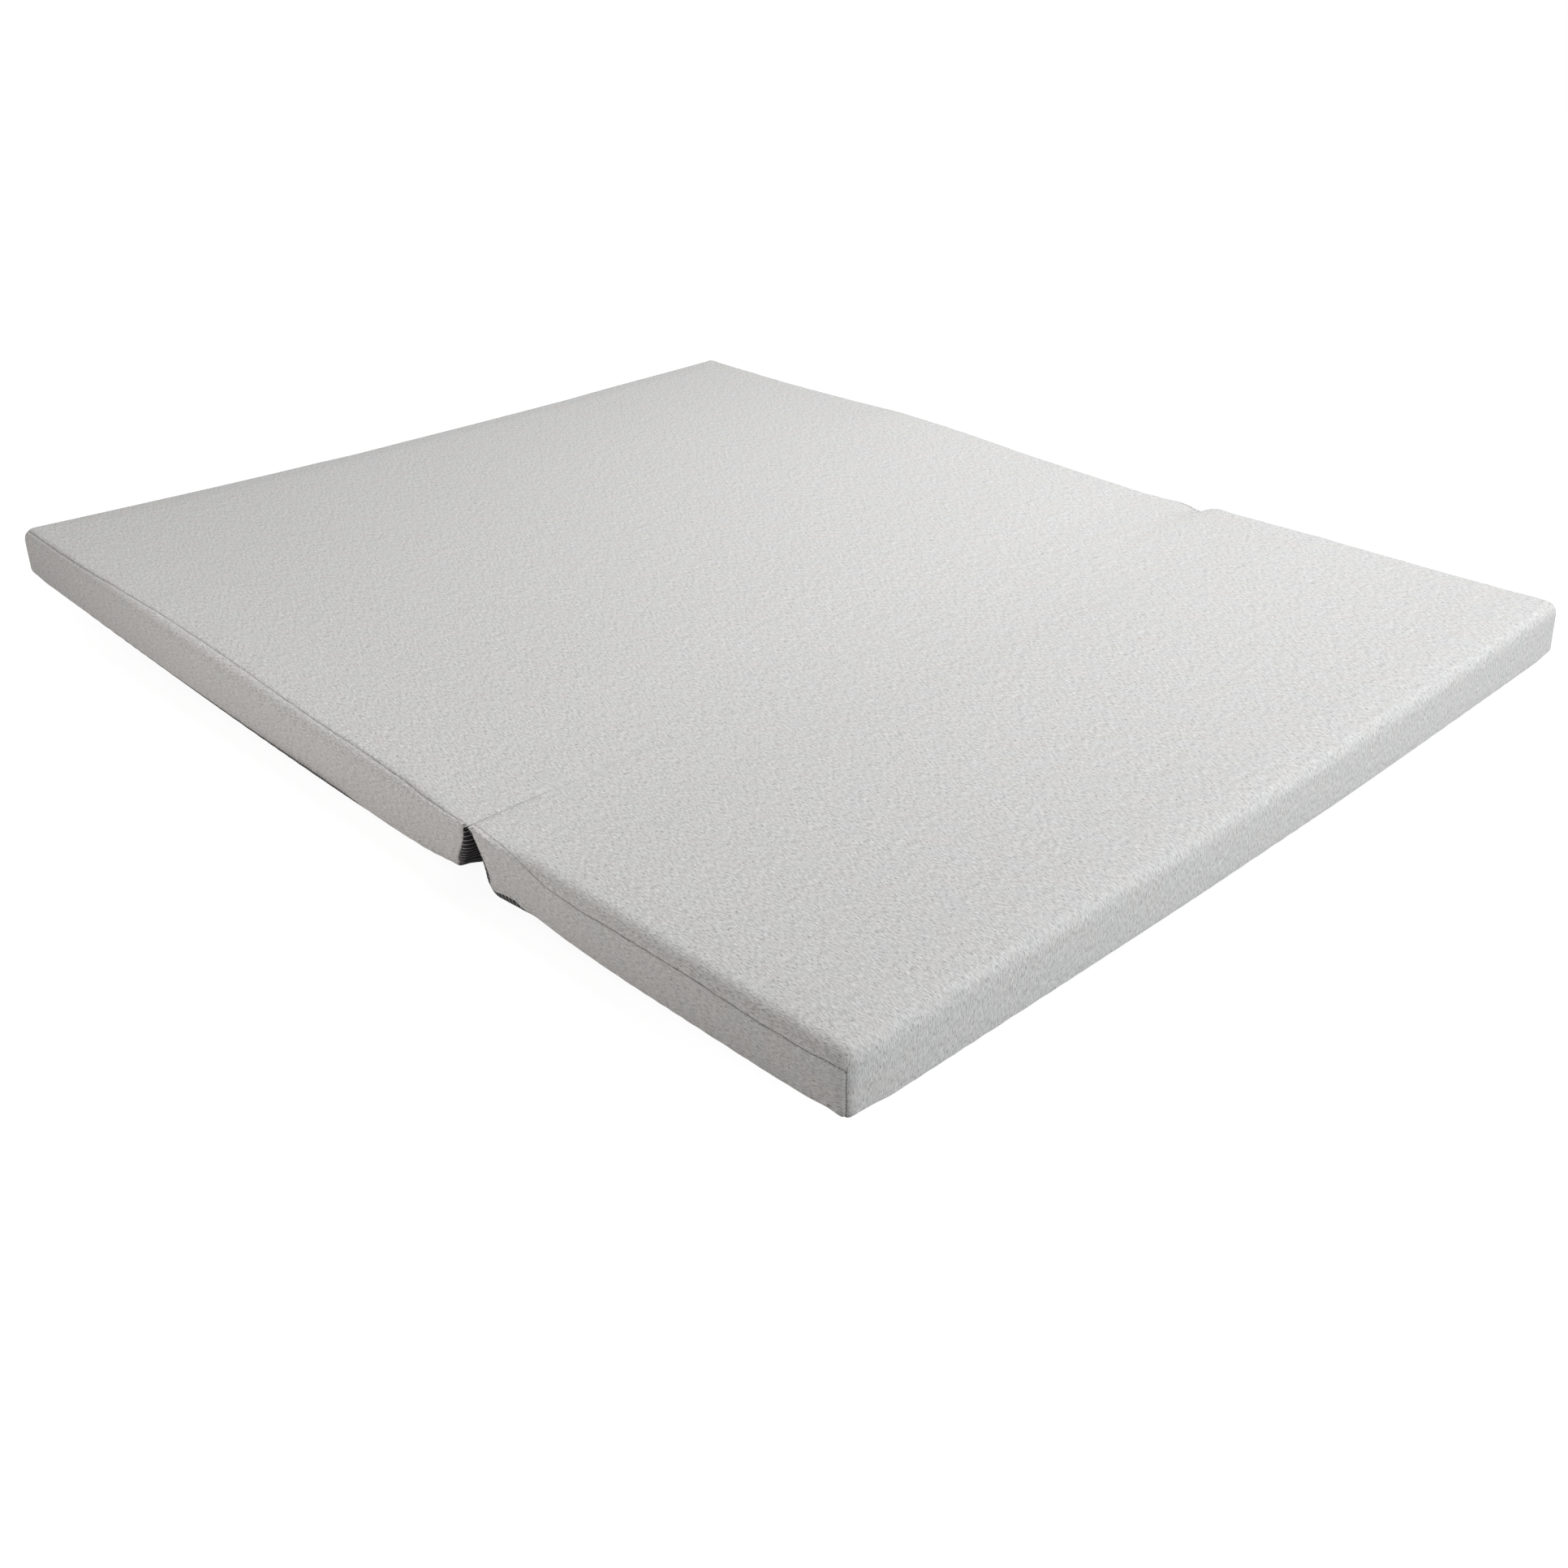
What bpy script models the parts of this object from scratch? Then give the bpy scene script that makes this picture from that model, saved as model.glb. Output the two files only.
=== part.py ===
"""Folding foam pad of a sofa bed, lying open on its underside.

Two foam sections share one grey cover. The top cloth joins them along the
fold seam, so the short section swings up and over onto the long one. Below
the seam the two fold faces lean apart and leave a V-shaped gap. X runs along
the length, Y across the width and Z up. The camera's side, at -Y, is called
near, and the closures are in the far side. The origin is on the floor, under
the middle of the pad. All lengths are in metres.
"""

import math

import bmesh
import bpy
from mathutils import Matrix, Vector

# The pad lying open
LENGTH = 1.800
WIDTH = 1.420
THICKNESS = 0.080
SHORT_LENGTH = 0.600

# Cloth, and the air left between two pieces that touch
CLOTH = 0.0012
GAP = 0.0003
SEAM_GAP = 0.0004
FOAM_GAP = 0.0005

# Rounded edges of a stuffed section
TOP_RADIUS = 0.020
BOTTOM_RADIUS = 0.010
SIDE_RADIUS = 0.018
END_RADIUS = 0.018
SHOULDER_RADIUS = 0.006
FOOT_RADIUS = 0.028

# Fold: how far each fold face leans back at the floor, and how far from the
# fold the sharp shoulder and the round foot pass into the other edges
LONG_LEAN = 0.018
SHORT_LEAN = 0.014
FOLD_REACH = 0.150
HINGE_RISE = 0.0004
FOLD_ROLL_RADIUS = 0.0020

# Seam of the near side panel: it wanders onto the top and below the edge
LONG_SEAM_INBOARD = 0.026

# How the stuffed form settles: crown, drawn-in edges and curled corners
CROWN = 0.004
SIDE_DRAW = 0.002
END_DRAW = 0.002
DRAW_REACH = 0.090
CORNER_DRAW = 0.003
CORNER_REACH = 0.060
LIFT_LONG_NEAR = 0.026
LIFT_LONG_FAR = 0.0
LIFT_SHORT_NEAR = 0.012
LIFT_SHORT_FAR = 0.016
FLAT_HALF_WIDTH = 0.120
LIFT_LONG_POWER = 1.64
LIFT_SHORT_POWER = 1.5
LIFT_SIDE_POWER = 1.3

# Zip of one section, in its far side
ZIP_HEIGHT = 0.036
LONG_ZIP_MARGIN = 0.130
SHORT_ZIP_MARGIN = 0.110
TAPE_THICKNESS = 0.0008
TAPE_WIDTH = 0.014
TAPE_TAIL = 0.008
TEETH_WIDTH = 0.0026
TEETH_HEIGHT = 0.0022
TEETH_SPLIT = 0.0003
SLOT_HEIGHT = 0.012
STOP_LENGTH = 0.0030
STOP_WALL = 0.0003
STOP_CLEARANCE = 0.0005

# Slider and its pull
SLIDER_LENGTH = 0.0120
SLIDER_PLATE = 0.0010
SLIDER_WALL = 0.0011
SLIDER_CORNER = 0.0020
RUN_CLEARANCE = 0.0004
WEDGE_LENGTH = 0.0040
WEDGE_WIDTH = 0.0016
WEDGE_SETBACK = 0.0008
WEDGE_CORNER = 0.0005
BAIL_LENGTH = 0.0056
BAIL_WIDTH = 0.0024
BAIL_RISE = 0.0028
BAIL_WALL = 0.0010
PULL_LENGTH = 0.028
PULL_WIDTH = 0.0070
PULL_THICKNESS = 0.0010
PULL_CORNER = 0.0024
PULL_HOLE_RADIUS = 0.0013

# Channel that the closure presses into the foam
CHANNEL_SPARE = 0.0010
CUT_OVERRUN = 0.0100

# Mesh divisions
LONG_DIVISIONS = 10
SHORT_DIVISIONS = 6
SIDE_DIVISIONS = 4
ROLL_SIDES = 10
TEETH_SIDES = 8
CORNER_STEPS = 3
SHARP_DEGREES = 35.0

# The cage of a section is a cube: 1 is where the flat of a side ends and its
# rounding begins, and 2 is the cube's own edge, halfway round that rounding
FLAT_END_SHARE = 1.0
EDGE_SHARE = 2.0
ARC_STEP_SHARE = 1.0 + math.tan(math.pi / 8.0)
SAME_SHARE = 0.001

NEAR_Y = -WIDTH / 2.0
FAR_Y = WIDTH / 2.0
LONG_END_X = -LENGTH / 2.0
SHORT_END_X = LENGTH / 2.0
FOLD_X = SHORT_END_X - SHORT_LENGTH
HINGE_Z = THICKNESS + HINGE_RISE
LINING = CLOTH + FOAM_GAP

# Colours as base colour, roughness and metallic value
FINISHES = {
    "grey_cloth": ((0.62, 0.61, 0.60), 0.95, 0.0),
    "pinstripe_cloth": ((0.02, 0.02, 0.022), 0.80, 0.0),
    "foam": ((0.86, 0.82, 0.66), 1.00, 0.0),
    "zip_tape": ((0.45, 0.44, 0.43), 0.90, 0.0),
    "zip_teeth": ((0.50, 0.49, 0.48), 0.45, 0.0),
    "slider_metal": ((0.42, 0.42, 0.43), 0.35, 1.0),
}


def clear_scene():
    """Remove what the scene holds, so that a second run starts clean."""
    for old in list(bpy.data.objects):
        bpy.data.objects.remove(old, do_unlink=True)
    for old in list(bpy.data.collections):
        bpy.data.collections.remove(old)


def make_materials():
    """One Principled material for each finish."""
    made = {}
    for name, (colour, roughness, metallic) in FINISHES.items():
        material = bpy.data.materials.new(name)
        material.use_nodes = True
        shader = material.node_tree.nodes["Principled BSDF"]
        shader.inputs["Base Color"].default_value = (*colour, 1.0)
        shader.inputs["Roughness"].default_value = roughness
        shader.inputs["Metallic"].default_value = metallic
        made[name] = material
    return made


def mix(low, high, share):
    """Straight blend from low to high."""
    return low + (high - low) * share


def clamp(value, low, high):
    """Value kept between low and high."""
    return max(low, min(high, value))


def ease(share):
    """Smooth step from 0 to 1."""
    share = clamp(share, 0.0, 1.0)
    return share * share * (3.0 - 2.0 * share)


class Workshop:
    """Holds the collections and materials, and turns meshes into objects."""

    def __init__(self):
        self.parts = bpy.data.collections.new("folding_pad")
        self.cutters = bpy.data.collections.new("cutters")
        bpy.context.scene.collection.children.link(self.parts)
        bpy.context.scene.collection.children.link(self.cutters)
        self.materials = make_materials()

    def add(self, name, bm, finish, parent=None, matrix=None):
        """Put a finished body in the model."""
        obj = self._object(name, bm, self.parts)
        obj.data.materials.append(self.materials[finish])
        obj.data.shade_smooth()
        obj.data.set_sharp_from_angle(angle=math.radians(SHARP_DEGREES))
        if parent is not None:
            obj.parent = parent
            obj.matrix_parent_inverse = parent.matrix_world.inverted()
        if matrix is not None:
            obj.matrix_world = matrix
        bpy.context.view_layer.update()
        return obj

    def cutter(self, name, bm, matrix):
        """Put a hidden cutter in the model."""
        obj = self._object(name, bm, self.cutters)
        obj.display_type = "WIRE"
        obj.hide_render = True
        obj.matrix_world = matrix
        return obj

    def empty(self, name, location, parent=None):
        """An empty on a joint's axis, which carries a moving body."""
        obj = bpy.data.objects.new(name, None)
        self.parts.objects.link(obj)
        obj.empty_display_size = THICKNESS
        if parent is not None:
            obj.parent = parent
            obj.matrix_parent_inverse = parent.matrix_world.inverted()
        obj.matrix_world = location
        bpy.context.view_layer.update()
        return obj

    @staticmethod
    def _object(name, bm, collection):
        mesh = bpy.data.meshes.new(name)
        bm.to_mesh(mesh)
        bm.free()
        obj = bpy.data.objects.new(name, mesh)
        collection.objects.link(obj)
        return obj


def boolean(obj, tool, operation="DIFFERENCE"):
    """Cut a body with a tool, or join the tool to it."""
    modifier = obj.modifiers.new(tool.name, "BOOLEAN")
    modifier.operation = operation
    modifier.solver = "EXACT"
    modifier.object = tool


def block(low, high, corner=0.0, corner_axis="Y"):
    """A box between two corners, its four edges along one axis rounded."""
    bm = bmesh.new()
    bmesh.ops.create_cube(bm, size=1.0)
    size = [high[i] - low[i] for i in range(3)]
    middle = [(high[i] + low[i]) / 2.0 for i in range(3)]
    bmesh.ops.scale(bm, vec=size, verts=bm.verts)
    bmesh.ops.translate(bm, vec=middle, verts=bm.verts)
    if corner > 0.0:
        axis = "XYZ".index(corner_axis)
        others = [i for i in range(3) if i != axis]
        edges = []
        for edge in bm.edges:
            run = edge.verts[1].co - edge.verts[0].co
            if abs(run[axis]) > max(abs(run[i]) for i in others):
                edges.append(edge)
        bmesh.ops.bevel(
            bm, geom=edges, offset=corner, segments=CORNER_STEPS, affect="EDGES", profile=0.5
        )
    return bm


def rod(radius_a, radius_b, length, sides, along):
    """A bar of oval section, centred, running along X or Y."""
    bm = bmesh.new()
    bmesh.ops.create_cone(
        bm, cap_ends=True, segments=sides, radius1=1.0, radius2=1.0, depth=1.0,
        matrix=Matrix.Rotation(math.pi / sides, 4, "Z"),
    )
    bmesh.ops.scale(bm, vec=(radius_a, radius_b, length), verts=bm.verts)
    turn = Matrix.Rotation(math.pi / 2.0, 4, "Y" if along == "X" else "X")
    bmesh.ops.transform(bm, matrix=turn, verts=bm.verts)
    return bm


def corner_lift(x, y):
    """How high the curled corners raise the pad at a place in plan."""
    across = clamp((abs(y) - FLAT_HALF_WIDTH) / (FAR_Y - FLAT_HALF_WIDTH), 0.0, 1.0)
    if x < 0.0:
        along = clamp(x / LONG_END_X, 0.0, 1.0) ** LIFT_LONG_POWER
        height = LIFT_LONG_NEAR if y < 0.0 else LIFT_LONG_FAR
    else:
        along = clamp((x - FOLD_X) / SHORT_LENGTH, 0.0, 1.0) ** LIFT_SHORT_POWER
        height = LIFT_SHORT_NEAR if y < 0.0 else LIFT_SHORT_FAR
    return height * along * across**LIFT_SIDE_POWER


class Section:
    """One stuffed section: its own sizes, and the form that all its pieces share."""

    def __init__(self, name, end_x, lean, divisions, zip_margin):
        self.name = name
        self.end_x = end_x
        self.lean = lean
        self.divisions = divisions
        self.zip_margin = zip_margin
        self.fold_sign = 1.0 if end_x < FOLD_X else -1.0
        self.length = abs(FOLD_X - end_x)
        self.middle_x = (FOLD_X + end_x) / 2.0

    def fold_face_x(self, z):
        """Where the leaning fold face stands at a height."""
        back = GAP + self.lean * (1.0 - z / THICKNESS)
        return FOLD_X - self.fold_sign * back

    def settle(self, point):
        """Move a point of the straight-edged form to where the stuffed one has it."""
        x, y, z = point
        along = clamp((x - self.middle_x) / (self.length / 2.0), -1.0, 1.0)
        across = clamp(y / FAR_Y, -1.0, 1.0)
        from_end = abs(x - self.end_x)
        from_fold = self.length - from_end
        from_side = FAR_Y * (1.0 - abs(across))
        side_draw = SIDE_DRAW * ease(from_end / DRAW_REACH) * ease(from_fold / DRAW_REACH)
        end_draw = END_DRAW * (1.0 - across**2) * ease(1.0 - from_end / FOLD_REACH)
        corner_near = ease(1.0 - from_end / CORNER_REACH) * ease(1.0 - from_side / CORNER_REACH)
        corner_draw = CORNER_DRAW * corner_near
        crown = CROWN * (1.0 - along**2) ** 2 * (1.0 - across**4) * z / THICKNESS
        return Vector((
            x + self.fold_sign * (end_draw + corner_draw),
            y * (1.0 - (side_draw + corner_draw) / FAR_Y),
            z + crown + corner_lift(x, y),
        ))

    def place(self, cage, inset):
        """Map a point of the cage to the form, drawn in from its surface by inset."""
        run = [clamp(value, -FLAT_END_SHARE, FLAT_END_SHARE) for value in cage]
        turn = Vector([value - flat for value, flat in zip(cage, run)]).normalized()
        up_share = (run[2] + FLAT_END_SHARE) / 2.0
        fold_share = (1.0 + self.fold_sign * run[0]) / 2.0
        from_fold = (1.0 - fold_share) * self.length
        fold_near = ease(1.0 - from_fold / FOLD_REACH)
        top_radius = mix(TOP_RADIUS, SHOULDER_RADIUS, fold_near)
        bottom_radius = mix(BOTTOM_RADIUS, FOOT_RADIUS, fold_near)
        z = mix(bottom_radius, THICKNESS - top_radius, up_share)
        fold_radius = mix(FOOT_RADIUS, SHOULDER_RADIUS, up_share)
        end_radius = mix(BOTTOM_RADIUS, END_RADIUS, up_share)
        side_radius = mix(BOTTOM_RADIUS, SIDE_RADIUS, up_share)
        end_core = self.end_x + self.fold_sign * end_radius
        fold_core = self.fold_face_x(z) - self.fold_sign * fold_radius
        x = mix(end_core, fold_core, fold_share)
        y = run[1] * (FAR_Y - side_radius)
        radius_x = fold_radius if cage[0] * self.fold_sign > 0.0 else end_radius
        radius_z = top_radius if cage[2] > 0.0 else bottom_radius
        corner = Vector((
            turn.x * (radius_x - inset),
            turn.y * (side_radius - inset),
            turn.z * (radius_z - inset),
        ))
        return self.settle(Vector((x, y, z)) + corner)

    def cage(self):
        """A cube cut at every station where the form bends, swells or is seamed."""
        bm = bmesh.new()
        bmesh.ops.create_cube(bm, size=2.0 * EDGE_SHARE)
        ends = [-ARC_STEP_SHARE, -FLAT_END_SHARE, FLAT_END_SHARE, ARC_STEP_SHARE]
        stations = {
            0: ends + self.spread(self.divisions),
            1: ends + self.width_stations() + self.seam_stations(),
            2: ends + [0.0],
        }
        for axis, cuts in stations.items():
            normal = [1.0 if i == axis else 0.0 for i in range(3)]
            for cut in sorted(set(cuts)):
                place = [cut if i == axis else 0.0 for i in range(3)]
                geometry = bm.verts[:] + bm.edges[:] + bm.faces[:]
                bmesh.ops.bisect_plane(
                    bm, geom=geometry, dist=SAME_SHARE, plane_co=place, plane_no=normal
                )
        return bm

    @staticmethod
    def spread(divisions):
        """Even cuts between the two ends of the flat."""
        return [2.0 * i / divisions - 1.0 for i in range(1, divisions)]

    @staticmethod
    def width_stations():
        """Cuts at the flat middle's edges, and even ones from there to the sides."""
        flat = FLAT_HALF_WIDTH / (FAR_Y - BOTTOM_RADIUS)
        cuts = [mix(flat, FLAT_END_SHARE, i / SIDE_DIVISIONS) for i in range(SIDE_DIVISIONS)]
        return [0.0] + cuts + [-cut for cut in cuts]

    def seam_stations(self):
        """The cut along which the near seam runs, if it lies on the top."""
        if self.fold_sign < 0.0:
            return []
        return [(NEAR_Y + LONG_SEAM_INBOARD) / (FAR_Y - SIDE_RADIUS)]

    def side_of(self, centre):
        """Which panel of the cover a face of the cage belongs to."""
        x, y, z = centre
        if y < SAME_SHARE - EDGE_SHARE:
            on_short = self.fold_sign < 0.0
            return "top" if on_short and z > ARC_STEP_SHARE else "near"
        if y > EDGE_SHARE - SAME_SHARE:
            return "far"
        if z > EDGE_SHARE - SAME_SHARE:
            seam = self.seam_stations()
            return "near" if seam and y < seam[0] else "top"
        if z < SAME_SHARE - EDGE_SHARE:
            return "under"
        return "under" if x * self.fold_sign > 0.0 else "top"

    def panel(self, shop, piece, sides, finish, parent):
        """One cloth panel: the cage's faces on its sides, given a thickness."""
        bm = self.cage()
        others = [f for f in bm.faces if self.side_of(f.calc_center_median()) not in sides]
        bmesh.ops.delete(bm, geom=others, context="FACES")
        outer = {v: self.place(v.co, 0.0) for v in bm.verts}
        depth = {v: self.place(v.co, CLOTH) - outer[v] for v in bm.verts}
        for vert, spot in outer.items():
            vert.co = spot
        bmesh.ops.recalc_face_normals(bm, faces=bm.faces)
        if sum(f.normal.dot(depth[f.verts[0]]) for f in bm.faces) > 0.0:
            bmesh.ops.reverse_faces(bm, faces=bm.faces)
        for vert, step in trim_steps(bm, SEAM_GAP / 2.0).items():
            vert.co += step
        rim = [e for e in bm.edges if e.is_boundary]
        copy = bmesh.ops.duplicate(bm, geom=bm.verts[:] + bm.edges[:] + bm.faces[:])
        for vert, step in depth.items():
            copy["vert_map"][vert].co = vert.co + step
        inner_faces = [g for g in copy["geom"] if isinstance(g, bmesh.types.BMFace)]
        inner_rim = [
            g for g in copy["geom"] if isinstance(g, bmesh.types.BMEdge) and g.is_boundary
        ]
        bmesh.ops.reverse_faces(bm, faces=inner_faces)
        bmesh.ops.bridge_loops(bm, edges=rim + inner_rim)
        bmesh.ops.recalc_face_normals(bm, faces=bm.faces)
        return shop.add(f"{self.name}_{piece}", bm, finish, parent)

    def foam(self, shop, parent):
        """The foam block, one lining's thickness inside the cover."""
        bm = self.cage()
        for vert in bm.verts:
            vert.co = self.place(vert.co, LINING)
        bmesh.ops.recalc_face_normals(bm, faces=bm.faces)
        return shop.add(f"{self.name}_foam_core", bm, "foam", parent)

    def zip_frame(self):
        """The closure's own frame: X along it to the closed end, Y out of the pad."""
        low = min(self.end_x, FOLD_X) + self.zip_margin
        high = max(self.end_x, FOLD_X) - self.zip_margin
        start = self.settle(Vector((low, FAR_Y, ZIP_HEIGHT)))
        stop = self.settle(Vector((high, FAR_Y, ZIP_HEIGHT)))
        sink = CLOTH + GAP + TAPE_THICKNESS / 2.0
        along = (stop - start).normalized()
        out = Vector((0.0, 1.0, 0.0))
        up = along.cross(out)
        turn = Matrix((along, out, up)).transposed().to_4x4()
        centre = (start + stop) / 2.0 - out * sink
        return Matrix.Translation(centre) @ turn, (stop - start).length

    def build(self, shop, parent):
        """Foam, cover panels and closure of this section."""
        foam = self.foam(shop, parent)
        self.panel(shop, "top_panel", ("top",), "grey_cloth", parent)
        self.panel(shop, "near_side_panel", ("near",), "grey_cloth", parent)
        far = self.panel(shop, "far_side_panel", ("far",), "grey_cloth", parent)
        self.panel(shop, "underside_panel", ("under",), "pinstripe_cloth", parent)
        frame, length = self.zip_frame()
        Closure(self.name, frame, length).build(shop, parent, foam, far)


def trim_steps(bm, width):
    """Steps that draw an open sheet's rim in by a width, square to its edges."""
    inward = {}
    for edge in bm.edges:
        if not edge.is_boundary:
            continue
        face = edge.link_faces[0]
        run = (edge.verts[1].co - edge.verts[0].co).normalized()
        square = face.normal.cross(run).normalized()
        if square.dot(face.calc_center_median() - edge.verts[0].co) < 0.0:
            square.negate()
        for vert in edge.verts:
            inward.setdefault(vert, []).append(square)
    steps = {}
    for vert, squares in inward.items():
        both = squares[0] + squares[1]
        steps[vert] = both * (width / (1.0 + squares[0].dot(squares[1])))
    return steps


class Closure:
    """Zip of one section: tapes, teeth, stops, slider and pull."""

    def __init__(self, name, frame, length):
        self.name = name
        self.frame = frame
        self.half = length / 2.0
        self.teeth_edge = TEETH_SPLIT / 2.0 + TEETH_WIDTH
        self.tape_edge = self.teeth_edge + GAP
        self.tape_reach = self.tape_edge + TAPE_WIDTH
        self.tunnel_y = TEETH_HEIGHT / 2.0 + RUN_CLEARANCE
        self.tunnel_z = self.teeth_edge + RUN_CLEARANCE
        self.slider_y = self.tunnel_y + SLIDER_PLATE
        self.slider_z = self.tunnel_z + SLIDER_WALL
        self.stop_low = self.half - STOP_CLEARANCE - STOP_LENGTH
        self.park_x = self.stop_low - STOP_CLEARANCE - SLIDER_LENGTH / 2.0
        self.wedge_high = SLIDER_LENGTH / 2.0 - WEDGE_SETBACK
        self.wedge_low = self.wedge_high - WEDGE_LENGTH
        self.teeth_high = self.park_x + self.wedge_low - RUN_CLEARANCE
        self.box_low = STOP_CLEARANCE - self.half
        self.teeth_low = self.box_low + STOP_LENGTH + GAP
        self.pivot_y = self.slider_y + (BAIL_RISE - BAIL_WALL) / 2.0
        bail_arm = math.hypot(BAIL_LENGTH / 2.0, BAIL_RISE + self.slider_y - self.pivot_y)
        self.eye_reach = bail_arm + RUN_CLEARANCE

    def travel(self):
        """How far the slider runs from the closed end to the open one."""
        return self.park_x - SLIDER_LENGTH / 2.0 - STOP_CLEARANCE - (self.box_low + STOP_LENGTH)

    def build(self, shop, parent, foam, side_panel):
        """Cut the seat, then place the fixed and the moving pieces."""
        self.cut_seat(shop, foam, side_panel)
        self.tapes_and_teeth(shop, parent)
        self.stops(shop, parent)
        along = shop.empty(
            f"{self.name}_slider_carrier",
            self.frame @ Matrix.Translation((self.park_x, 0.0, 0.0)), parent,
        )
        self.slider(shop, along)
        pivot = shop.empty(
            f"{self.name}_pull_pivot",
            self.frame @ Matrix.Translation((self.park_x, self.pivot_y, 0.0)), along,
        )
        self.pull(shop, pivot)
        axis = self.frame.to_3x3() @ Vector((1.0, 0.0, 0.0))
        across = self.frame.to_3x3() @ Vector((0.0, 0.0, 1.0))
        print(self.name, "slider axis", [round(-v, 5) for v in axis],
              "travel", round(self.travel(), 4))
        print(self.name, "pull axis", [round(v, 5) for v in across],
              "at", [round(v, 5) for v in pivot.matrix_world.translation])

    def cut_seat(self, shop, foam, side_panel):
        """Slot in the side panel, and the channel pressed into the foam."""
        slot = block(
            (-self.half, -CUT_OVERRUN, -SLOT_HEIGHT / 2.0),
            (self.half, CUT_OVERRUN, SLOT_HEIGHT / 2.0),
            corner=SLIDER_CORNER,
        )
        tape_end = self.half + TAPE_TAIL + CHANNEL_SPARE
        tape_side = self.tape_reach + CHANNEL_SPARE
        bed = block(
            (-tape_end, -TAPE_THICKNESS / 2.0 - GAP, -tape_side),
            (tape_end, CUT_OVERRUN, tape_side),
        )
        side = self.slider_z + CHANNEL_SPARE
        trough = block(
            (-self.half, -self.slider_y - GAP, -side), (self.half, CUT_OVERRUN, side)
        )
        boolean(side_panel, shop.cutter(f"{self.name}_slot_cutter", slot, self.frame))
        boolean(foam, shop.cutter(f"{self.name}_tape_bed_cutter", bed, self.frame))
        boolean(foam, shop.cutter(f"{self.name}_trough_cutter", trough, self.frame))

    def tapes_and_teeth(self, shop, parent):
        """Two sewn tapes, each with a row of teeth along its inner edge."""
        end = self.half + TAPE_TAIL
        for side, sign in (("upper", 1.0), ("lower", -1.0)):
            edges = sorted((sign * self.tape_edge, sign * self.tape_reach))
            tape = block(
                (-end, -TAPE_THICKNESS / 2.0, edges[0]), (end, TAPE_THICKNESS / 2.0, edges[1])
            )
            shop.add(f"{self.name}_zip_{side}_tape", tape, "zip_tape", parent, self.frame)
            length = self.teeth_high - self.teeth_low
            row = rod(TEETH_WIDTH / 2.0, TEETH_HEIGHT / 2.0, length, TEETH_SIDES, "X")
            centre = (
                (self.teeth_high + self.teeth_low) / 2.0,
                0.0,
                sign * (TEETH_SPLIT + TEETH_WIDTH) / 2.0,
            )
            place = self.frame @ Matrix.Translation(centre)
            shop.add(f"{self.name}_zip_{side}_teeth", row, "zip_teeth", parent, place)

    def stops(self, shop, parent):
        """A box at the open end, and a clip on each tape at the closed end."""
        high = TEETH_HEIGHT / 2.0 + STOP_WALL
        box = block(
            (self.box_low, -high, -self.teeth_edge),
            (self.box_low + STOP_LENGTH, high, self.teeth_edge),
        )
        shop.add(f"{self.name}_zip_bottom_stop", box, "slider_metal", parent, self.frame)
        for side, sign in (("upper", 1.0), ("lower", -1.0)):
            edges = sorted((sign * TEETH_SPLIT / 2.0, sign * self.teeth_edge))
            clip = block(
                (self.stop_low, -high, edges[0]), (self.stop_low + STOP_LENGTH, high, edges[1])
            )
            name = f"{self.name}_zip_{side}_top_stop"
            shop.add(name, clip, "slider_metal", parent, self.frame)

    def slider(self, shop, parent):
        """Two flanged plates on a wedge, with the bail that holds the pull."""
        place = parent.matrix_world
        half = SLIDER_LENGTH / 2.0
        body = block(
            (-half, -self.slider_y, -self.slider_z), (half, self.slider_y, self.slider_z),
            corner=SLIDER_CORNER,
        )
        slider = shop.add(f"{self.name}_zip_slider", body, "slider_metal", parent, place)
        tunnel = block(
            (-CUT_OVERRUN, -self.tunnel_y, -self.tunnel_z),
            (CUT_OVERRUN, self.tunnel_y, self.tunnel_z),
        )
        slit = TAPE_THICKNESS / 2.0 + RUN_CLEARANCE
        tape_way = block((-CUT_OVERRUN, -slit, -CUT_OVERRUN), (CUT_OVERRUN, slit, CUT_OVERRUN))
        sunk = SLIDER_PLATE / 2.0
        wedge = block(
            (self.wedge_low, -self.tunnel_y - sunk, -WEDGE_WIDTH / 2.0),
            (self.wedge_high, self.tunnel_y + sunk, WEDGE_WIDTH / 2.0),
            corner=WEDGE_CORNER,
        )
        bail = block(
            (-BAIL_LENGTH / 2.0, self.slider_y - sunk, -BAIL_WIDTH / 2.0),
            (BAIL_LENGTH / 2.0, self.slider_y + BAIL_RISE, BAIL_WIDTH / 2.0),
            corner=BAIL_WALL, corner_axis="Z",
        )
        window = block(
            (BAIL_WALL - BAIL_LENGTH / 2.0, self.slider_y, -BAIL_WIDTH),
            (BAIL_LENGTH / 2.0 - BAIL_WALL, self.slider_y + BAIL_RISE - BAIL_WALL, BAIL_WIDTH),
        )
        boolean(slider, shop.cutter(f"{self.name}_tunnel_cutter", tunnel, place))
        boolean(slider, shop.cutter(f"{self.name}_tape_way_cutter", tape_way, place))
        boolean(slider, shop.cutter(f"{self.name}_wedge", wedge, place), "UNION")
        boolean(slider, shop.cutter(f"{self.name}_bail", bail, place), "UNION")
        boolean(slider, shop.cutter(f"{self.name}_bail_window", window, place))

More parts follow.
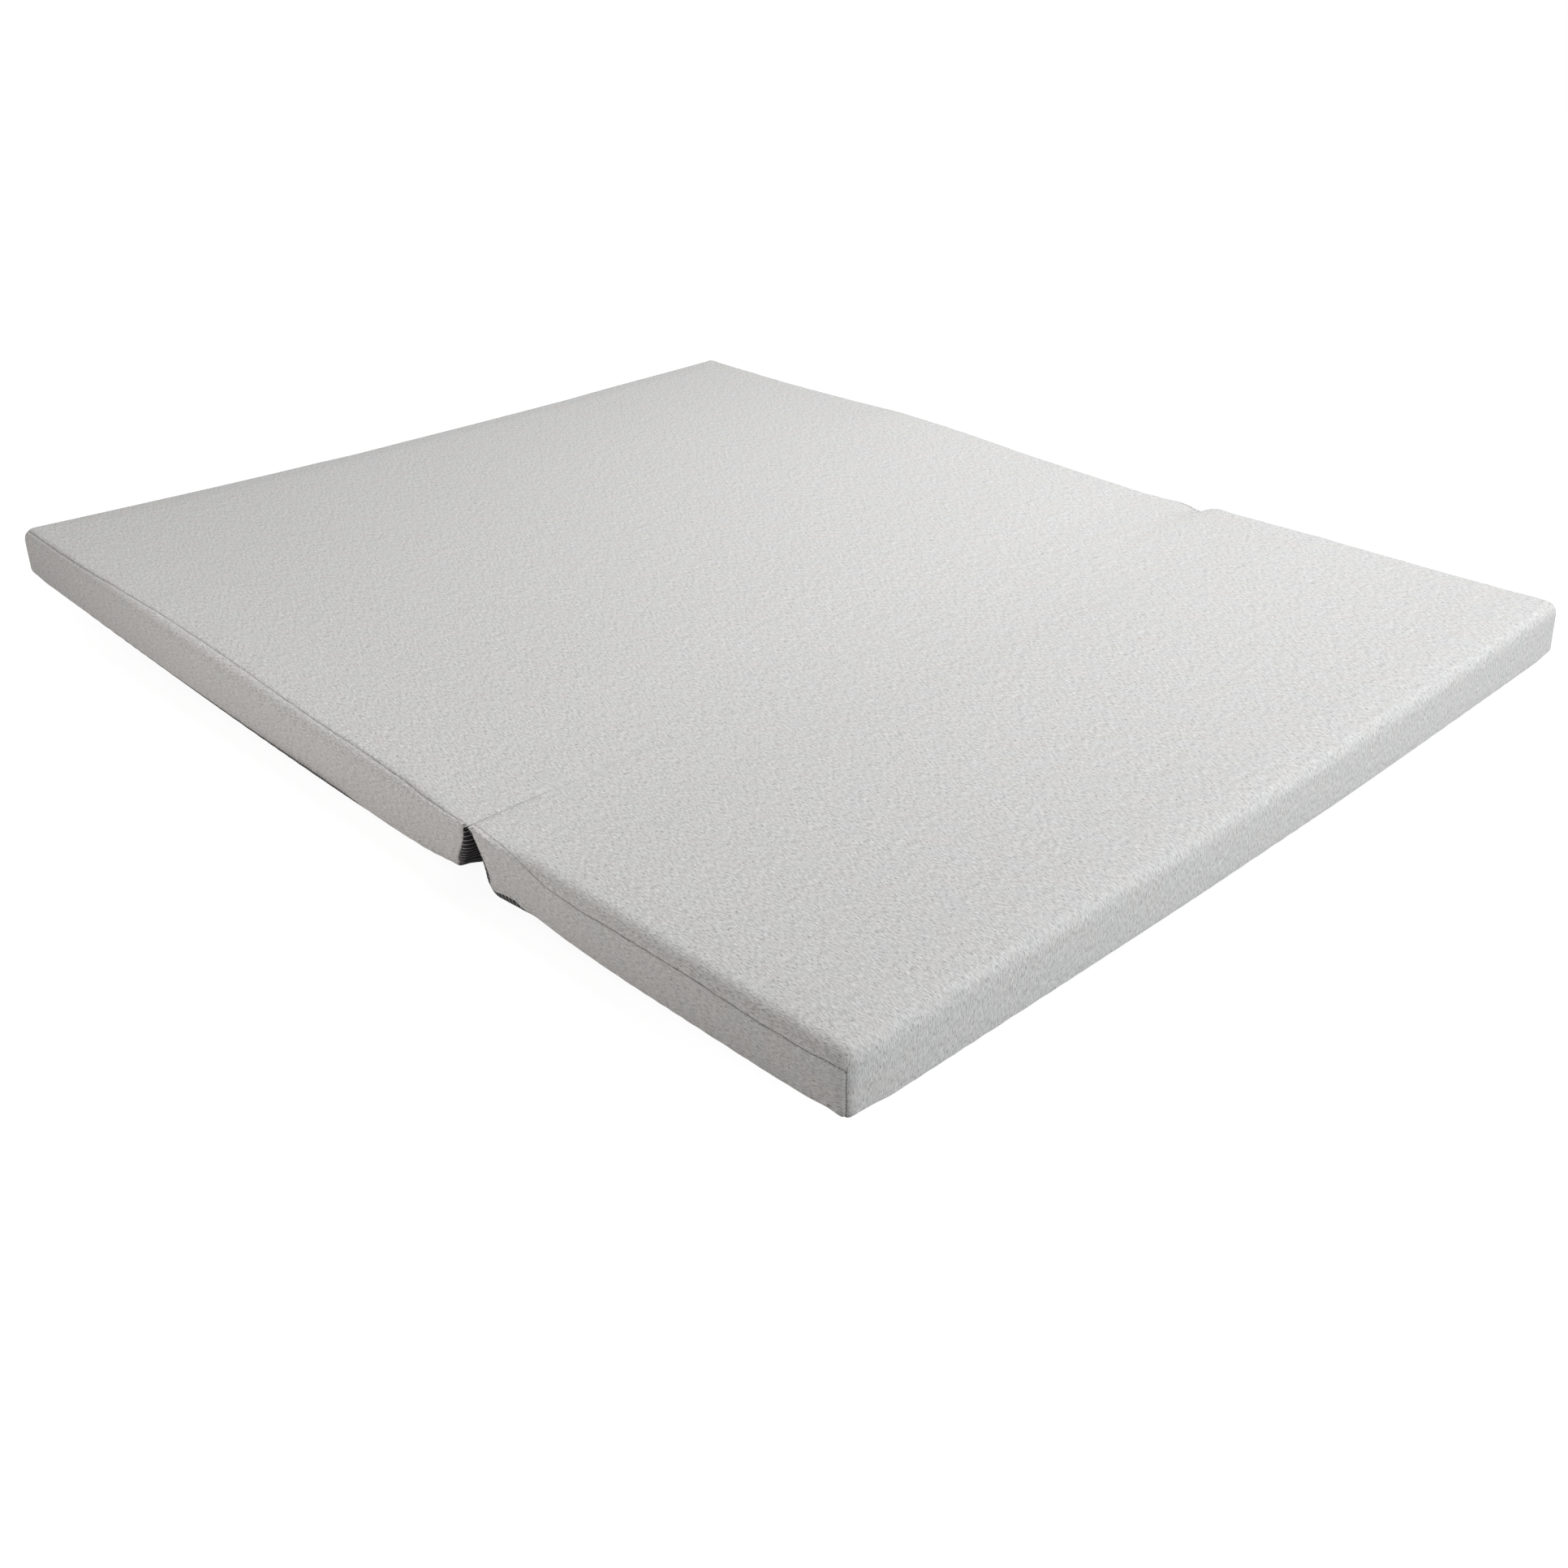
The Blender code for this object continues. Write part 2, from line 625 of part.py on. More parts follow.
    def pull(self, shop, parent):
        """Flat pull with an eye round the bail and a hole near its tip."""
        place = parent.matrix_world
        bar = PULL_THICKNESS / 2.0
        tip = bar - PULL_LENGTH
        plate = block(
            (tip, -bar, -PULL_WIDTH / 2.0), (bar, bar, PULL_WIDTH / 2.0), corner=PULL_CORNER
        )
        pull = shop.add(f"{self.name}_zip_pull", plate, "slider_metal", parent, place)
        eye_side = BAIL_WIDTH / 2.0 + RUN_CLEARANCE
        eye = block((-self.eye_reach, -CUT_OVERRUN, -eye_side), (-bar, CUT_OVERRUN, eye_side))
        hole = rod(PULL_HOLE_RADIUS, PULL_HOLE_RADIUS, CUT_OVERRUN, ROLL_SIDES, "Y")
        bmesh.ops.translate(hole, vec=(tip + PULL_WIDTH / 2.0, 0.0, 0.0), verts=hole.verts)
        boolean(pull, shop.cutter(f"{self.name}_pull_eye_cutter", eye, place))
        boolean(pull, shop.cutter(f"{self.name}_pull_hole_cutter", hole, place))


def fold_seam(shop, parent, long_section, short_section):
    """Rolled seam allowance, seated in the groove between the two shoulders."""
    shoulder_z = THICKNESS - SHOULDER_RADIUS
    long_x = long_section.fold_face_x(shoulder_z) - SHOULDER_RADIUS
    short_x = short_section.fold_face_x(shoulder_z) + SHOULDER_RADIUS
    reach = SHOULDER_RADIUS + GAP + FOLD_ROLL_RADIUS
    rise = math.sqrt(reach**2 - ((short_x - long_x) / 2.0) ** 2)
    length = 2.0 * (FAR_Y - SIDE_RADIUS)
    bm = rod(FOLD_ROLL_RADIUS, FOLD_ROLL_RADIUS, length, ROLL_SIDES, "Y")
    place = Matrix.Translation(((long_x + short_x) / 2.0, 0.0, shoulder_z + rise))
    shop.add("fold_seam", bm, "grey_cloth", parent, place)


def main():
    """Build the pad, lying open."""
    clear_scene()
    shop = Workshop()
    long_section = Section("long", LONG_END_X, LONG_LEAN, LONG_DIVISIONS, LONG_ZIP_MARGIN)
    short_section = Section("short", SHORT_END_X, SHORT_LEAN, SHORT_DIVISIONS, SHORT_ZIP_MARGIN)
    long_carrier = shop.empty("long_section_carrier", Matrix.Identity(4))
    hinge = Matrix.Translation((FOLD_X, 0.0, HINGE_Z))
    short_carrier = shop.empty("short_section_carrier", hinge, long_carrier)
    long_section.build(shop, long_carrier)
    short_section.build(shop, short_carrier)
    fold_seam(shop, long_carrier, long_section, short_section)


main()
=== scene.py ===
"""Looks of the folding pad of a sofa bed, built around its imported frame.

The covers, the foam inside, the crease and the two zips are made here, in the
same frame as the CAD: X along the length, Y across the width with the zips on
the far side at +Y, and Z up. All lengths are in metres.
"""

import logging
import math
from dataclasses import dataclass
from enum import Enum

import bmesh
import bpy
import numpy as np
from mathutils import Matrix, Vector, kdtree


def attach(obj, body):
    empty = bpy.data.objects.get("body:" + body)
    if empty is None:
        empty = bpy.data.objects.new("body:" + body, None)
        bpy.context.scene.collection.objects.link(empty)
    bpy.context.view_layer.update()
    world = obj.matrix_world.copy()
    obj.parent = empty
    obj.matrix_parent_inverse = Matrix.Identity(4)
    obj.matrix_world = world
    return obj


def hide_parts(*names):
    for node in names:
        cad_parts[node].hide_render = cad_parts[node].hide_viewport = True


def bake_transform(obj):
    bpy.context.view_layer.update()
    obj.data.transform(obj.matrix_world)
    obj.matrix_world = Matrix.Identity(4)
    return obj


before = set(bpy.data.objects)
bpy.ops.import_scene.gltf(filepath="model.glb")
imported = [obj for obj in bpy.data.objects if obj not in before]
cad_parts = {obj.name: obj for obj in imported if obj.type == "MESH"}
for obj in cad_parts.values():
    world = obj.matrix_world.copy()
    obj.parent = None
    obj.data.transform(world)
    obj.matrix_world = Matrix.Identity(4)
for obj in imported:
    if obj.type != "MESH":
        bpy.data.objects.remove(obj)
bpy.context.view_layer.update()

LOG = logging.getLogger("folding_pad")

# The pad lying open, as in the part's source
LENGTH = 1.800
WIDTH = 1.420
THICKNESS = 0.080
SHORT_LENGTH = 0.600
NEAR_Y = -WIDTH / 2.0
FAR_Y = WIDTH / 2.0
FOLD_X = LENGTH / 2.0 - SHORT_LENGTH
ZIP_HEIGHT = 0.036

# Cloth, and the air between two pieces that touch
CLOTH = 0.0012
GAP = 0.0003
SEAM_GAP = 0.0004

# A cage is a cube: 1 is where a flat ends, 2 is the cube's own edge
FLAT = 1.0
EDGE = 2.0
SPAN = 2.0 * EDGE
SAME = 1e-6
HALF_QUARTER = math.pi / 4.0

# Colours in more than one use, and kinds of value
WHITE = (1.0, 1.0, 1.0, 1.0)
# The sewing thread's colour, which is also the colour that the painted seam shade darkens toward
THREAD_AND_SEAM_SHADE_COLOUR = (0.16, 0.155, 0.15)
Triple = tuple[float, float, float]
Colour = Triple
Table = tuple[tuple[float, float], ...]


class Body(Enum):
    """The frame's bodies that the pieces ride on."""

    LONG = "long_section"
    SHORT = "short_section"
    LONG_SLIDER = "long_slider"
    LONG_PULL = "long_pull"
    SHORT_SLIDER = "short_slider"
    SHORT_PULL = "short_pull"


class Slot(Enum):
    """The record's material slots."""

    GREY_CLOTH = "grey_cloth"
    PINSTRIPE = "pinstripe_cloth"
    FOAM = "foam"
    TAPE = "zip_tape"
    TEETH = "zip_teeth"
    METAL = "slider_metal"


class Panel(Enum):
    """The four cloth panels of one section's cover."""

    TOP = "top"
    NEAR = "near_side"
    FAR = "far_side"
    UNDER = "underside"


def ease(share: np.ndarray | float) -> np.ndarray | float:
    """Smooth step from 0 to 1."""
    share = np.clip(share, 0.0, 1.0)
    return share * share * (3.0 - 2.0 * share)


def mix(low: np.ndarray | float, high: np.ndarray | float, share: np.ndarray | float):
    """Straight blend from low to high."""
    return low + (high - low) * share


def bell(distance: np.ndarray, width: float) -> np.ndarray:
    """Round hump of height 1 that falls off within a width."""
    return np.exp(-((distance / width) ** 2))


def rows_of(x: object, y: object, z: object) -> np.ndarray:
    """Rows of three coordinates, each given as one value or one a row."""
    return np.column_stack(np.broadcast_arrays(x, y, z))


def link(name: str, data: bpy.types.ID) -> bpy.types.Object:
    """A new object that shows some data, in the scene."""
    obj = bpy.data.objects.new(name, data)
    bpy.context.scene.collection.objects.link(obj)
    return obj


def settle_piece(obj: bpy.types.Object, body: Body, node: str) -> None:
    """Let a piece ride on its body in place of its node."""
    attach(obj, body.value)
    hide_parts(node)


def slide(turn: np.ndarray, walk: np.ndarray) -> tuple[np.ndarray, np.ndarray]:
    """Move places round an edge of the cage.

    Args:
        turn: Places, from 0 where one flat ends, over 1 at the cube's edge, to 2.
        walk: How far those at the cube's edge move.

    Returns:
        How far each moved place lies past the first and the second flat.
    """
    turn = np.where(turn <= 1.0, turn * (1.0 + walk), 2.0 - (2.0 - turn) * (1.0 - walk))
    first, second = np.minimum(turn, 1.0), np.minimum(2.0 - turn, 1.0)
    return np.tan(first * HALF_QUARTER), np.tan(second * HALF_QUARTER)


def crease_strength(y: np.ndarray) -> np.ndarray:
    """How much the crease shows, in its groove and in its painted shade: plain at the near side,
    hardly at all in the middle.
    """
    return sum(
        share * ease((side * y - start) / reach) for side, start, reach, share in CREASE_SHOWS
    )


@dataclass
class Section:
    """One stuffed section: its own sizes, and the form that all its pieces share.

    The form is the part's own, drawn on a finer grid, with what the solids
    leave out: a sharp crease, the notch at the crease's far end, a wandering
    near seam and slightly wavy edges.
    """

    name: str
    body: Body
    end_x: float
    lean: float
    zip_margin: float
    lift_near: float
    lift_far: float
    lift_power: float
    seam_base: float
    seam_walk: Table
    foot_walk: Table
    fold_set: Table
    foot_curl: Table
    lining_turn: float
    turn_radius: float = 0.0
    top_radius: float = 0.020
    bottom_radius: float = 0.0075
    side_radius: float = 0.018
    end_radius: float = 0.018
    shoulder_radius: float = 0.0006
    foot_radius: float = 0.028
    corner_radius: float = 0.014
    fold_reach: float = 0.150
    crown: float = 0.0018
    side_draw: float = 0.002
    end_draw: float = 0.002
    draw_reach: float = 0.090
    corner_draw: float = 0.003
    corner_reach: float = 0.060
    flat_half_width: float = 0.120
    lift_side_power: float = 1.3
    round_radius: float = 0.019
    swell: "Swelling | None" = None

    def __post_init__(self) -> None:
        """Work out what follows from the sizes."""
        self.fold_sign = 1.0 if self.end_x < FOLD_X else -1.0
        self.length = abs(FOLD_X - self.end_x)
        self.middle_x = (FOLD_X + self.end_x) / 2.0
        self.half_flat_y = FAR_Y - self.side_radius
        self.half_flat_z = (THICKNESS - self.top_radius - self.bottom_radius) / 2.0
        self.quarter = self.round_radius * math.pi / 2.0
        self.corner_inset = (1.0 - math.sqrt(0.5)) * self.side_radius

    def corner_lift(self, x: np.ndarray, y: np.ndarray) -> np.ndarray:
        """How high the curled corners raise the pad.

        Args:
            x: Places along the length.
            y: Places across the width.

        Returns:
            The rise at each place.
        """
        across = (np.abs(y) - self.flat_half_width) / (FAR_Y - self.flat_half_width)
        start = 0.0 if self.fold_sign > 0.0 else FOLD_X
        along = np.clip((x - start) / (self.end_x - start), 0.0, 1.0) ** self.lift_power
        height = np.where(y < 0.0, self.lift_near, self.lift_far)
        return height * along * np.clip(across, 0.0, 1.0) ** self.lift_side_power

    def settle(self, points: np.ndarray) -> np.ndarray:
        """Move points of the straight-edged form to where the stuffed one has them.

        Args:
            points: Rows of x, y, z.

        Returns:
            The moved rows.
        """
        x, y, z = points.T
        along = np.clip((x - self.middle_x) / (self.length / 2.0), -1.0, 1.0)
        across = np.clip(y / FAR_Y, -1.0, 1.0)
        from_end = np.abs(x - self.end_x)
        from_fold = self.length - from_end
        from_side = FAR_Y * (1.0 - np.abs(across))
        side_draw = self.side_draw * ease(from_end / self.draw_reach)
        side_draw = side_draw * ease(from_fold / self.draw_reach)
        end_draw = self.end_draw * (1.0 - across**2) * ease(1.0 - from_end / self.fold_reach)
        corner_near = ease(1.0 - from_end / self.corner_reach)
        corner_near = corner_near * ease(1.0 - from_side / self.corner_reach)
        corner_draw = self.corner_draw * corner_near
        crown = self.crown * (1.0 - along**2) ** 2 * (1.0 - across**4) * z / THICKNESS
        return np.column_stack((
            x + self.fold_sign * (end_draw + corner_draw),
            y * (1.0 - (side_draw + corner_draw) / FAR_Y),
            z + crown + self.corner_lift(x, y),
        ))

    def fold_face_x(self, z: np.ndarray | float) -> np.ndarray | float:
        """Where the leaning fold face stands at a height."""
        return FOLD_X - self.fold_sign * (GAP + self.lean * (1.0 - z / THICKNESS))

    def zip_span(self) -> tuple[float, float]:
        """Where the zip's slot starts and stops along the length."""
        low, high = sorted((self.end_x, FOLD_X))
        return low + self.zip_margin, high - self.zip_margin

    def cage_height(self, z: float) -> float:
        """Cage place of a height on the flat of a side."""
        return (z - self.bottom_radius) / self.half_flat_z - 1.0

    def form(self, cage: np.ndarray, inset: np.ndarray | float) -> np.ndarray:
        """Map points of the cage to the form that the cloth is drawn over.

        Args:
            cage: Rows of cage coordinates, each on the cube's surface.
            inset: How far below the form's surface, one value or one a row.

        Returns:
            Rows of x, y, z.
        """
        run = np.clip(cage, -FLAT, FLAT)
        turn = cage - run
        turn = turn / np.linalg.norm(turn, axis=1, keepdims=True)
        up = (run[:, 2] + FLAT) / 2.0
        fold_share = (1.0 + self.fold_sign * run[:, 0]) / 2.0
        fold_near = ease(1.0 - (1.0 - fold_share) * self.length / self.fold_reach)
        top_radius = mix(self.top_radius, self.shoulder_radius, fold_near)
        by_corner = ease(1.0 - fold_share * self.length / self.corner_reach)
        by_corner = by_corner * ease(1.0 - (FLAT + run[:, 1]) * self.half_flat_y / self.corner_reach)
        low_radius = mix(self.bottom_radius, self.corner_radius, by_corner)
        bottom_radius = mix(low_radius, self.foot_radius, fold_near)
        z = mix(bottom_radius, THICKNESS - top_radius, up)
        fold_radius = mix(self.foot_radius, self.shoulder_radius, up)
        end_radius = mix(low_radius, self.end_radius, up)
        side_radius = mix(low_radius, self.side_radius, up)
        end_core = self.end_x + self.fold_sign * end_radius
        fold_core = self.fold_face_x(z) - self.fold_sign * fold_radius
        x = mix(end_core, fold_core, fold_share)
        y = run[:, 1] * (FAR_Y - side_radius)
        radius_x = np.where(cage[:, 0] * self.fold_sign > 0.0, fold_radius, end_radius)
        radius_z = np.where(cage[:, 2] > 0.0, top_radius, bottom_radius)
        radii = np.column_stack((radius_x - inset, side_radius - inset, radius_z - inset))
        return self.wear(self.settle(np.column_stack((x, y, z)) + turn * radii))

    def place(self, cage: np.ndarray, inset: np.ndarray | float) -> np.ndarray:
        """Map points of the cage to the form, with the swelling of the filled cover.

        Args:
            cage: Rows of cage coordinates, each on the cube's surface.
            inset: How far below the form's surface, one value or one a row.

        Returns:
            Rows of x, y, z.
        """
        points = self.form(cage, inset)
        return points if self.swell is None else self.swell.move(cage, points)

    def wear(self, points: np.ndarray) -> np.ndarray:
        """Add the set-back of the fold face, the crease, its notch and wavy edges.

        Args:
            points: Rows of x, y, z on the settled form.

        Returns:
            The moved rows.
        """
        x, y, z = points.T
        high = np.clip(z / THICKNESS, 0.0, 1.0) ** 2
        far = ease(1.0 - (FAR_Y - y) / NOTCH_REACH)
        dip = mix(CREASE_DIP_MIDDLE, CREASE_DIP_NEAR, ease((-y - DIP_START) / DIP_REACH))
        width = np.where(x < FOLD_X, NOTCH_WIDTH_LONG, NOTCH_WIDTH_SHORT)
        notch = np.exp(-(np.abs((x - FOLD_X) / width) ** NOTCH_POWER)) * far
        down = dip * bell(x - FOLD_X, CREASE_WIDTH) + NOTCH_DROP * notch
        far_edge = ease((y - FAR_WAVE_START) / (FAR_Y - FAR_WAVE_START))
        left_edge = ease((LEFT_WAVE_START - x) / (LEFT_WAVE_START + LENGTH / 2.0))
        wave = far_edge * np.interp(x, *zip(*FAR_WAVE)) + left_edge * np.interp(y, *zip(*LEFT_WAVE))
        side = ease((np.abs(y) - RIPPLE_START) / (FAR_Y - RIPPLE_START))
        ripple = np.sin(x / RIPPLE_LONG + RIPPLE_PHASE) * np.sin(x / RIPPLE_SHORT + np.sign(y))
        rise = wave + np.where(y < 0.0, NEAR_RIPPLE, FAR_RIPPLE) * side * ripple
        from_face = np.abs(x - self.fold_face_x(np.clip(z, 0.0, THICKNESS)))
        back = np.interp(z, *zip(*self.fold_set)) * ease(1.0 - from_face / SET_REACH)
        curl = np.interp(x, *zip(*self.foot_curl))
        curl = curl * ease((-y - CURL_START) / CURL_REACH) * ease(1.0 - z / CURL_HEIGHT)
        return np.column_stack((
            x - self.fold_sign * back, y - NOTCH_DRAW * notch * high,
            z + high * (rise - down) + curl,
        ))

    def unroll(self, cage: np.ndarray) -> np.ndarray:
        """Distance down over the near top edge, from the end of the flat top.

        Args:
            cage: Rows on the cage's top or near side.

        Returns:
            The distance of each row, less than 0 on the flat top.
        """
        y, z = cage[:, 1], cage[:, 2]
        top_angle = np.arctan(np.clip(-FLAT - y, 0.0, 1.0))
        side_angle = math.pi / 2.0 - np.arctan(np.clip(z - FLAT, 0.0, 1.0))
        on_top = np.where(
            y > -FLAT, -(y + FLAT) * self.half_flat_y, self.round_radius * top_angle
        )
        on_side = np.where(
            z < FLAT, self.quarter + (FLAT - z) * self.half_flat_z, self.round_radius * side_angle
        )
        return np.where(z > EDGE - SAME, on_top, on_side)

    def roll(self, cage: np.ndarray, down: np.ndarray) -> np.ndarray:
        """Put rows of the cage at new distances over the near top edge.

        Args:
            cage: Rows on the cage's top or near side.
            down: The new distances, as unroll gives them.

        Returns:
            The moved rows.
        """
        angle = down / self.round_radius
        moved = cage.copy()
        moved[:, 1] = np.where(down < 0.0, -FLAT - down / self.half_flat_y, -EDGE)
        first = (down >= 0.0) & (angle < HALF_QUARTER)
        moved[first, 1] = -FLAT - np.tan(angle[first])
        moved[:, 2] = EDGE
        second = (angle >= HALF_QUARTER) & (down < self.quarter)
        moved[second, 2] = FLAT + np.tan(math.pi / 2.0 - angle[second])
        side = down >= self.quarter
        moved[side, 2] = FLAT - (down[side] - self.quarter) / self.half_flat_z
        return moved

    def warp(self, cage: np.ndarray) -> np.ndarray:
        """Bend the cage's grid so that all of its near seams run as the real ones do.

        Args:
            cage: Rows of the straight grid.

        Returns:
            Rows of the bent grid, still on the cube's surface.
        """
        x = self.form(cage, 0.0)[:, 0]
        return self.shift_fold(self.shift_foot(self.drift(cage, x), x))

    def drift(self, cage: np.ndarray, x: np.ndarray) -> np.ndarray:
        """Let the near top seam wander.

        Args:
            cage: Rows of the straight grid.
            x: Each row's place along the length.

        Returns:
            The moved rows.
        """
        moved = cage.copy()
        near = cage[:, 1] < -EDGE + SAME
        top = (cage[:, 2] > EDGE - SAME) & (cage[:, 1] < 0.0)
        rows = near | top
        down = self.unroll(cage[rows])
        walk = np.interp(x[rows], *zip(*self.seam_walk)) - self.seam_base
        if self.turn_radius > 0.0:
            from_corner = np.abs(x[rows] - self.end_x) - self.corner_inset
            left = np.clip(self.turn_radius - from_corner, 0.0, self.turn_radius)
            walk = walk + self.turn_radius - np.sqrt(self.turn_radius**2 - left**2)
        off = down - self.seam_base
        reach = np.where(off < 0.0, SEAM_REACH_UP, SEAM_REACH_DOWN)
        shifted = down + walk * ease(1.0 - np.abs(off) / reach)
        moved[rows] = self.roll(cage[rows], shifted)
        return moved

    def shift_fold(self, cage: np.ndarray) -> np.ndarray:
        """Bring the lining round the fold's near edge, to where the side begins to turn.

        Args:
            cage: Rows of cage coordinates.

        Returns:
            The moved rows.
        """
        moved = cage.copy()
        out = cage[:, 0] * self.fold_sign
        edge = (out > FLAT) & (cage[:, 1] < -FLAT)
        beside = edge & (cage[:, 1] < SAME - EDGE)
        facing = edge & (out > EDGE - SAME) & ~beside
        rows = beside | facing
        up = (np.clip(cage[rows, 2], -FLAT, FLAT) + FLAT) / 2.0
        fold_radius = mix(self.foot_radius, self.shoulder_radius, up)
        side_radius = mix(self.bottom_radius, self.side_radius, up)
        border = np.arctan(math.tan(self.lining_turn) * fold_radius / side_radius) / HALF_QUARTER
        walk = (np.clip(border, BORDER_LEAST, 1.0) - 1.0) * ease(EDGE + cage[rows, 2])
        turn = np.where(
            beside[rows], np.arctan(out[rows] - FLAT) / HALF_QUARTER,
            2.0 - np.arctan(-FLAT - cage[rows, 1]) / HALF_QUARTER,
        )
        sideways, across = slide(turn, walk)
        moved[rows, 0] = self.fold_sign * (FLAT + sideways)
        moved[rows, 1] = -FLAT - across
        return moved

    def shift_foot(self, cage: np.ndarray, x: np.ndarray) -> np.ndarray:
        """Let the lining creep up the near side, or the near side down under the pad.

        Args:
            cage: Rows of cage coordinates.
            x: Each row's place along the length.

        Returns:
            The moved rows.
        """
        moved = cage.copy()
        edge = (cage[:, 1] < -FLAT) & (cage[:, 2] < -FLAT)
        beside = edge & (cage[:, 1] < SAME - EDGE)
        below = edge & (cage[:, 2] < SAME - EDGE) & ~beside
        rows = beside | below
        y, z = cage[rows, 1], cage[rows, 2]
        turn = np.where(
            beside[rows], 2.0 - np.arctan(-FLAT - z) / HALF_QUARTER,
            np.arctan(-FLAT - y) / HALF_QUARTER,
        )
        walk = np.interp(x[rows], *zip(*self.foot_walk)) * ease(EDGE - np.abs(cage[rows, 0]))
        under, upright = slide(turn, walk)
        moved[rows, 1] = -FLAT - under
        moved[rows, 2] = -FLAT - upright
        return moved

    def cloth_uv(self, cage: np.ndarray) -> np.ndarray:
        """Places on the flat cloth, in metres, with U along its yarns.

        Args:
            cage: Rows of cage coordinates.

        Returns:
            Rows of u and v.
        """
        fold = EDGE * self.fold_sign
        x, y, z = cage.T
        on_end = np.abs(x + fold) < SAME
        on_fold = np.abs(x - fold) < SAME
        from_fold = np.abs(x - fold)
        below = z < SAME - EDGE
        along = np.where(on_end & ~below, SPAN + (EDGE - z), from_fold)
        along = np.where(on_fold & (z < EDGE - SAME), z - EDGE, along)
        under = np.where(on_fold, z - EDGE, -SPAN - from_fold)
        u_top = np.interp(along, *self.along_table(1.0))
        u_under = np.interp(under, *self.along_table(-1.0))
        u = np.where(below | on_fold, u_under, u_top)
        across = np.where(y < SAME - EDGE, z - EDGE, y + EDGE)
        across = np.where(y > EDGE - SAME, SPAN + (EDGE - z), across)
        across = np.where(on_end | on_fold | below, y + EDGE, across)
        v = np.interp(across, *self.across_table())
        return np.column_stack((u, v))

    def side_uv(self, drawn: np.ndarray, surface: np.ndarray) -> np.ndarray:
        """Places on the flat cloth of a side panel, which is cut straight and not stretched.

        Args:
            drawn: Rows of cage coordinates on the side's unbent grid.
            surface: Where the panel's points lie.

        Returns:
            Rows of u and v.
        """
        x, y, z = surface.T
        steps = np.linspace(-EDGE, EDGE, TABLE_STEPS)
        heights = self.form(rows_of(0.0, -EDGE, steps), 0.0)[:, 2]
        level = np.interp(z - self.corner_lift(x, y), heights, steps)
        flat = drawn.copy()
        upright = np.abs(drawn[:, 1]) > EDGE - SAME
        by_fold = ease(1.0 - np.abs(x - FOLD_X) / self.fold_reach)
        flat[:, 2] = np.where(upright, mix(drawn[:, 2], level, by_fold), drawn[:, 2])
        across = np.where(upright, flat[:, 2] - EDGE, drawn[:, 1] + EDGE)
        across = np.where(drawn[:, 1] > EDGE - SAME, SPAN + (EDGE - flat[:, 2]), across)
        return np.column_stack((np.abs(x - FOLD_X), np.interp(across, *self.across_table())))

    def run_length(self, path: np.ndarray) -> np.ndarray:
        """How far along the stuffed form each point of a path on the cage lies."""
        steps = np.linalg.norm(np.diff(self.place(path, 0.0), axis=0), axis=1)
        return np.concatenate(([0.0], np.cumsum(steps)))

    def along_table(self, way: float) -> tuple[np.ndarray, np.ndarray]:
        """Path along the pad: way 1 over the top and down the end, -1 down the fold."""
        fold = EDGE * self.fold_sign
        steps = np.linspace(0.0, SPAN, TABLE_STEPS)
        level = rows_of(fold - self.fold_sign * steps, 0.0, way * EDGE)
        drop = rows_of(-way * fold, 0.0, EDGE - steps)
        path = (level, drop[1:]) if way > 0.0 else (drop, level[1:])
        length = self.run_length(np.vstack(path))
        where = np.linspace(0.0, 2.0 * SPAN, len(length))
        return (where, length) if way > 0.0 else (-where[::-1], -length[::-1])

    def across_table(self) -> tuple[np.ndarray, np.ndarray]:
        """Path up the near side, across the top and down the far side."""
        steps = np.linspace(0.0, SPAN, TABLE_STEPS)
        up = rows_of(0.0, -EDGE, steps - EDGE)
        over = rows_of(0.0, steps - EDGE, EDGE)
        down = rows_of(0.0, EDGE, EDGE - steps)
        length = self.run_length(np.vstack((up, over[1:], down[1:])))
        length = length - length[len(steps) - 1] - self.half_flat_y
        return np.linspace(-SPAN, 2.0 * SPAN, len(length)), length


# Where the crease shows: side, start and reach across the width, and how much
CREASE_SHOWS = ((-1.0, 0.57, 0.07, 0.22), (-1.0, 0.38, 0.10, 0.03), (1.0, 0.62, 0.06, 0.06))

# Crease, notch and waves of the stuffed form
CREASE_DIP_MIDDLE = 0.0001
CREASE_DIP_NEAR = 0.0012
CREASE_WIDTH = 0.008
DIP_START = 0.35
DIP_REACH = 0.30
NOTCH_REACH = 0.060
NOTCH_WIDTH_LONG = 0.026
NOTCH_WIDTH_SHORT = 0.014
NOTCH_DROP = 0.0075
NOTCH_DRAW = 0.008
NOTCH_POWER = 1.5
FAR_WAVE_START = 0.42
FAR_WAVE = (
    (-0.90, -0.0034), (-0.65, -0.0035), (-0.50, 0.0004), (-0.35, 0.0061), (-0.20, 0.0040),
    (-0.05, -0.0019), (0.10, -0.0052), (0.20, -0.0070), (0.28, -0.0060), (0.34, 0.0009),
    (0.42, 0.0042), (0.52, 0.0047), (0.60, 0.0034), (0.70, 0.0020), (0.80, 0.0006), (0.90, 0.0),
)
LEFT_WAVE_START = -0.60
LEFT_WAVE = (
    (-0.71, -0.0020), (-0.52, 0.0), (-0.20, 0.0024), (-0.04, 0.0004), (0.12, -0.0022),
    (0.32, -0.0045), (0.52, -0.0034), (0.71, -0.0010),
)
NEAR_RIPPLE = 0.0007
FAR_RIPPLE = 0.0003
RIPPLE_START = 0.5
RIPPLE_LONG = 0.041
RIPPLE_SHORT = 0.0137
RIPPLE_PHASE = 0.9
CURL_START = 0.662
CURL_REACH = 0.040
CURL_HEIGHT = 0.050
BORDER_LEAST = 0.04
SET_REACH = 0.060
SEAM_REACH_UP = 0.080
SEAM_REACH_DOWN = 0.048

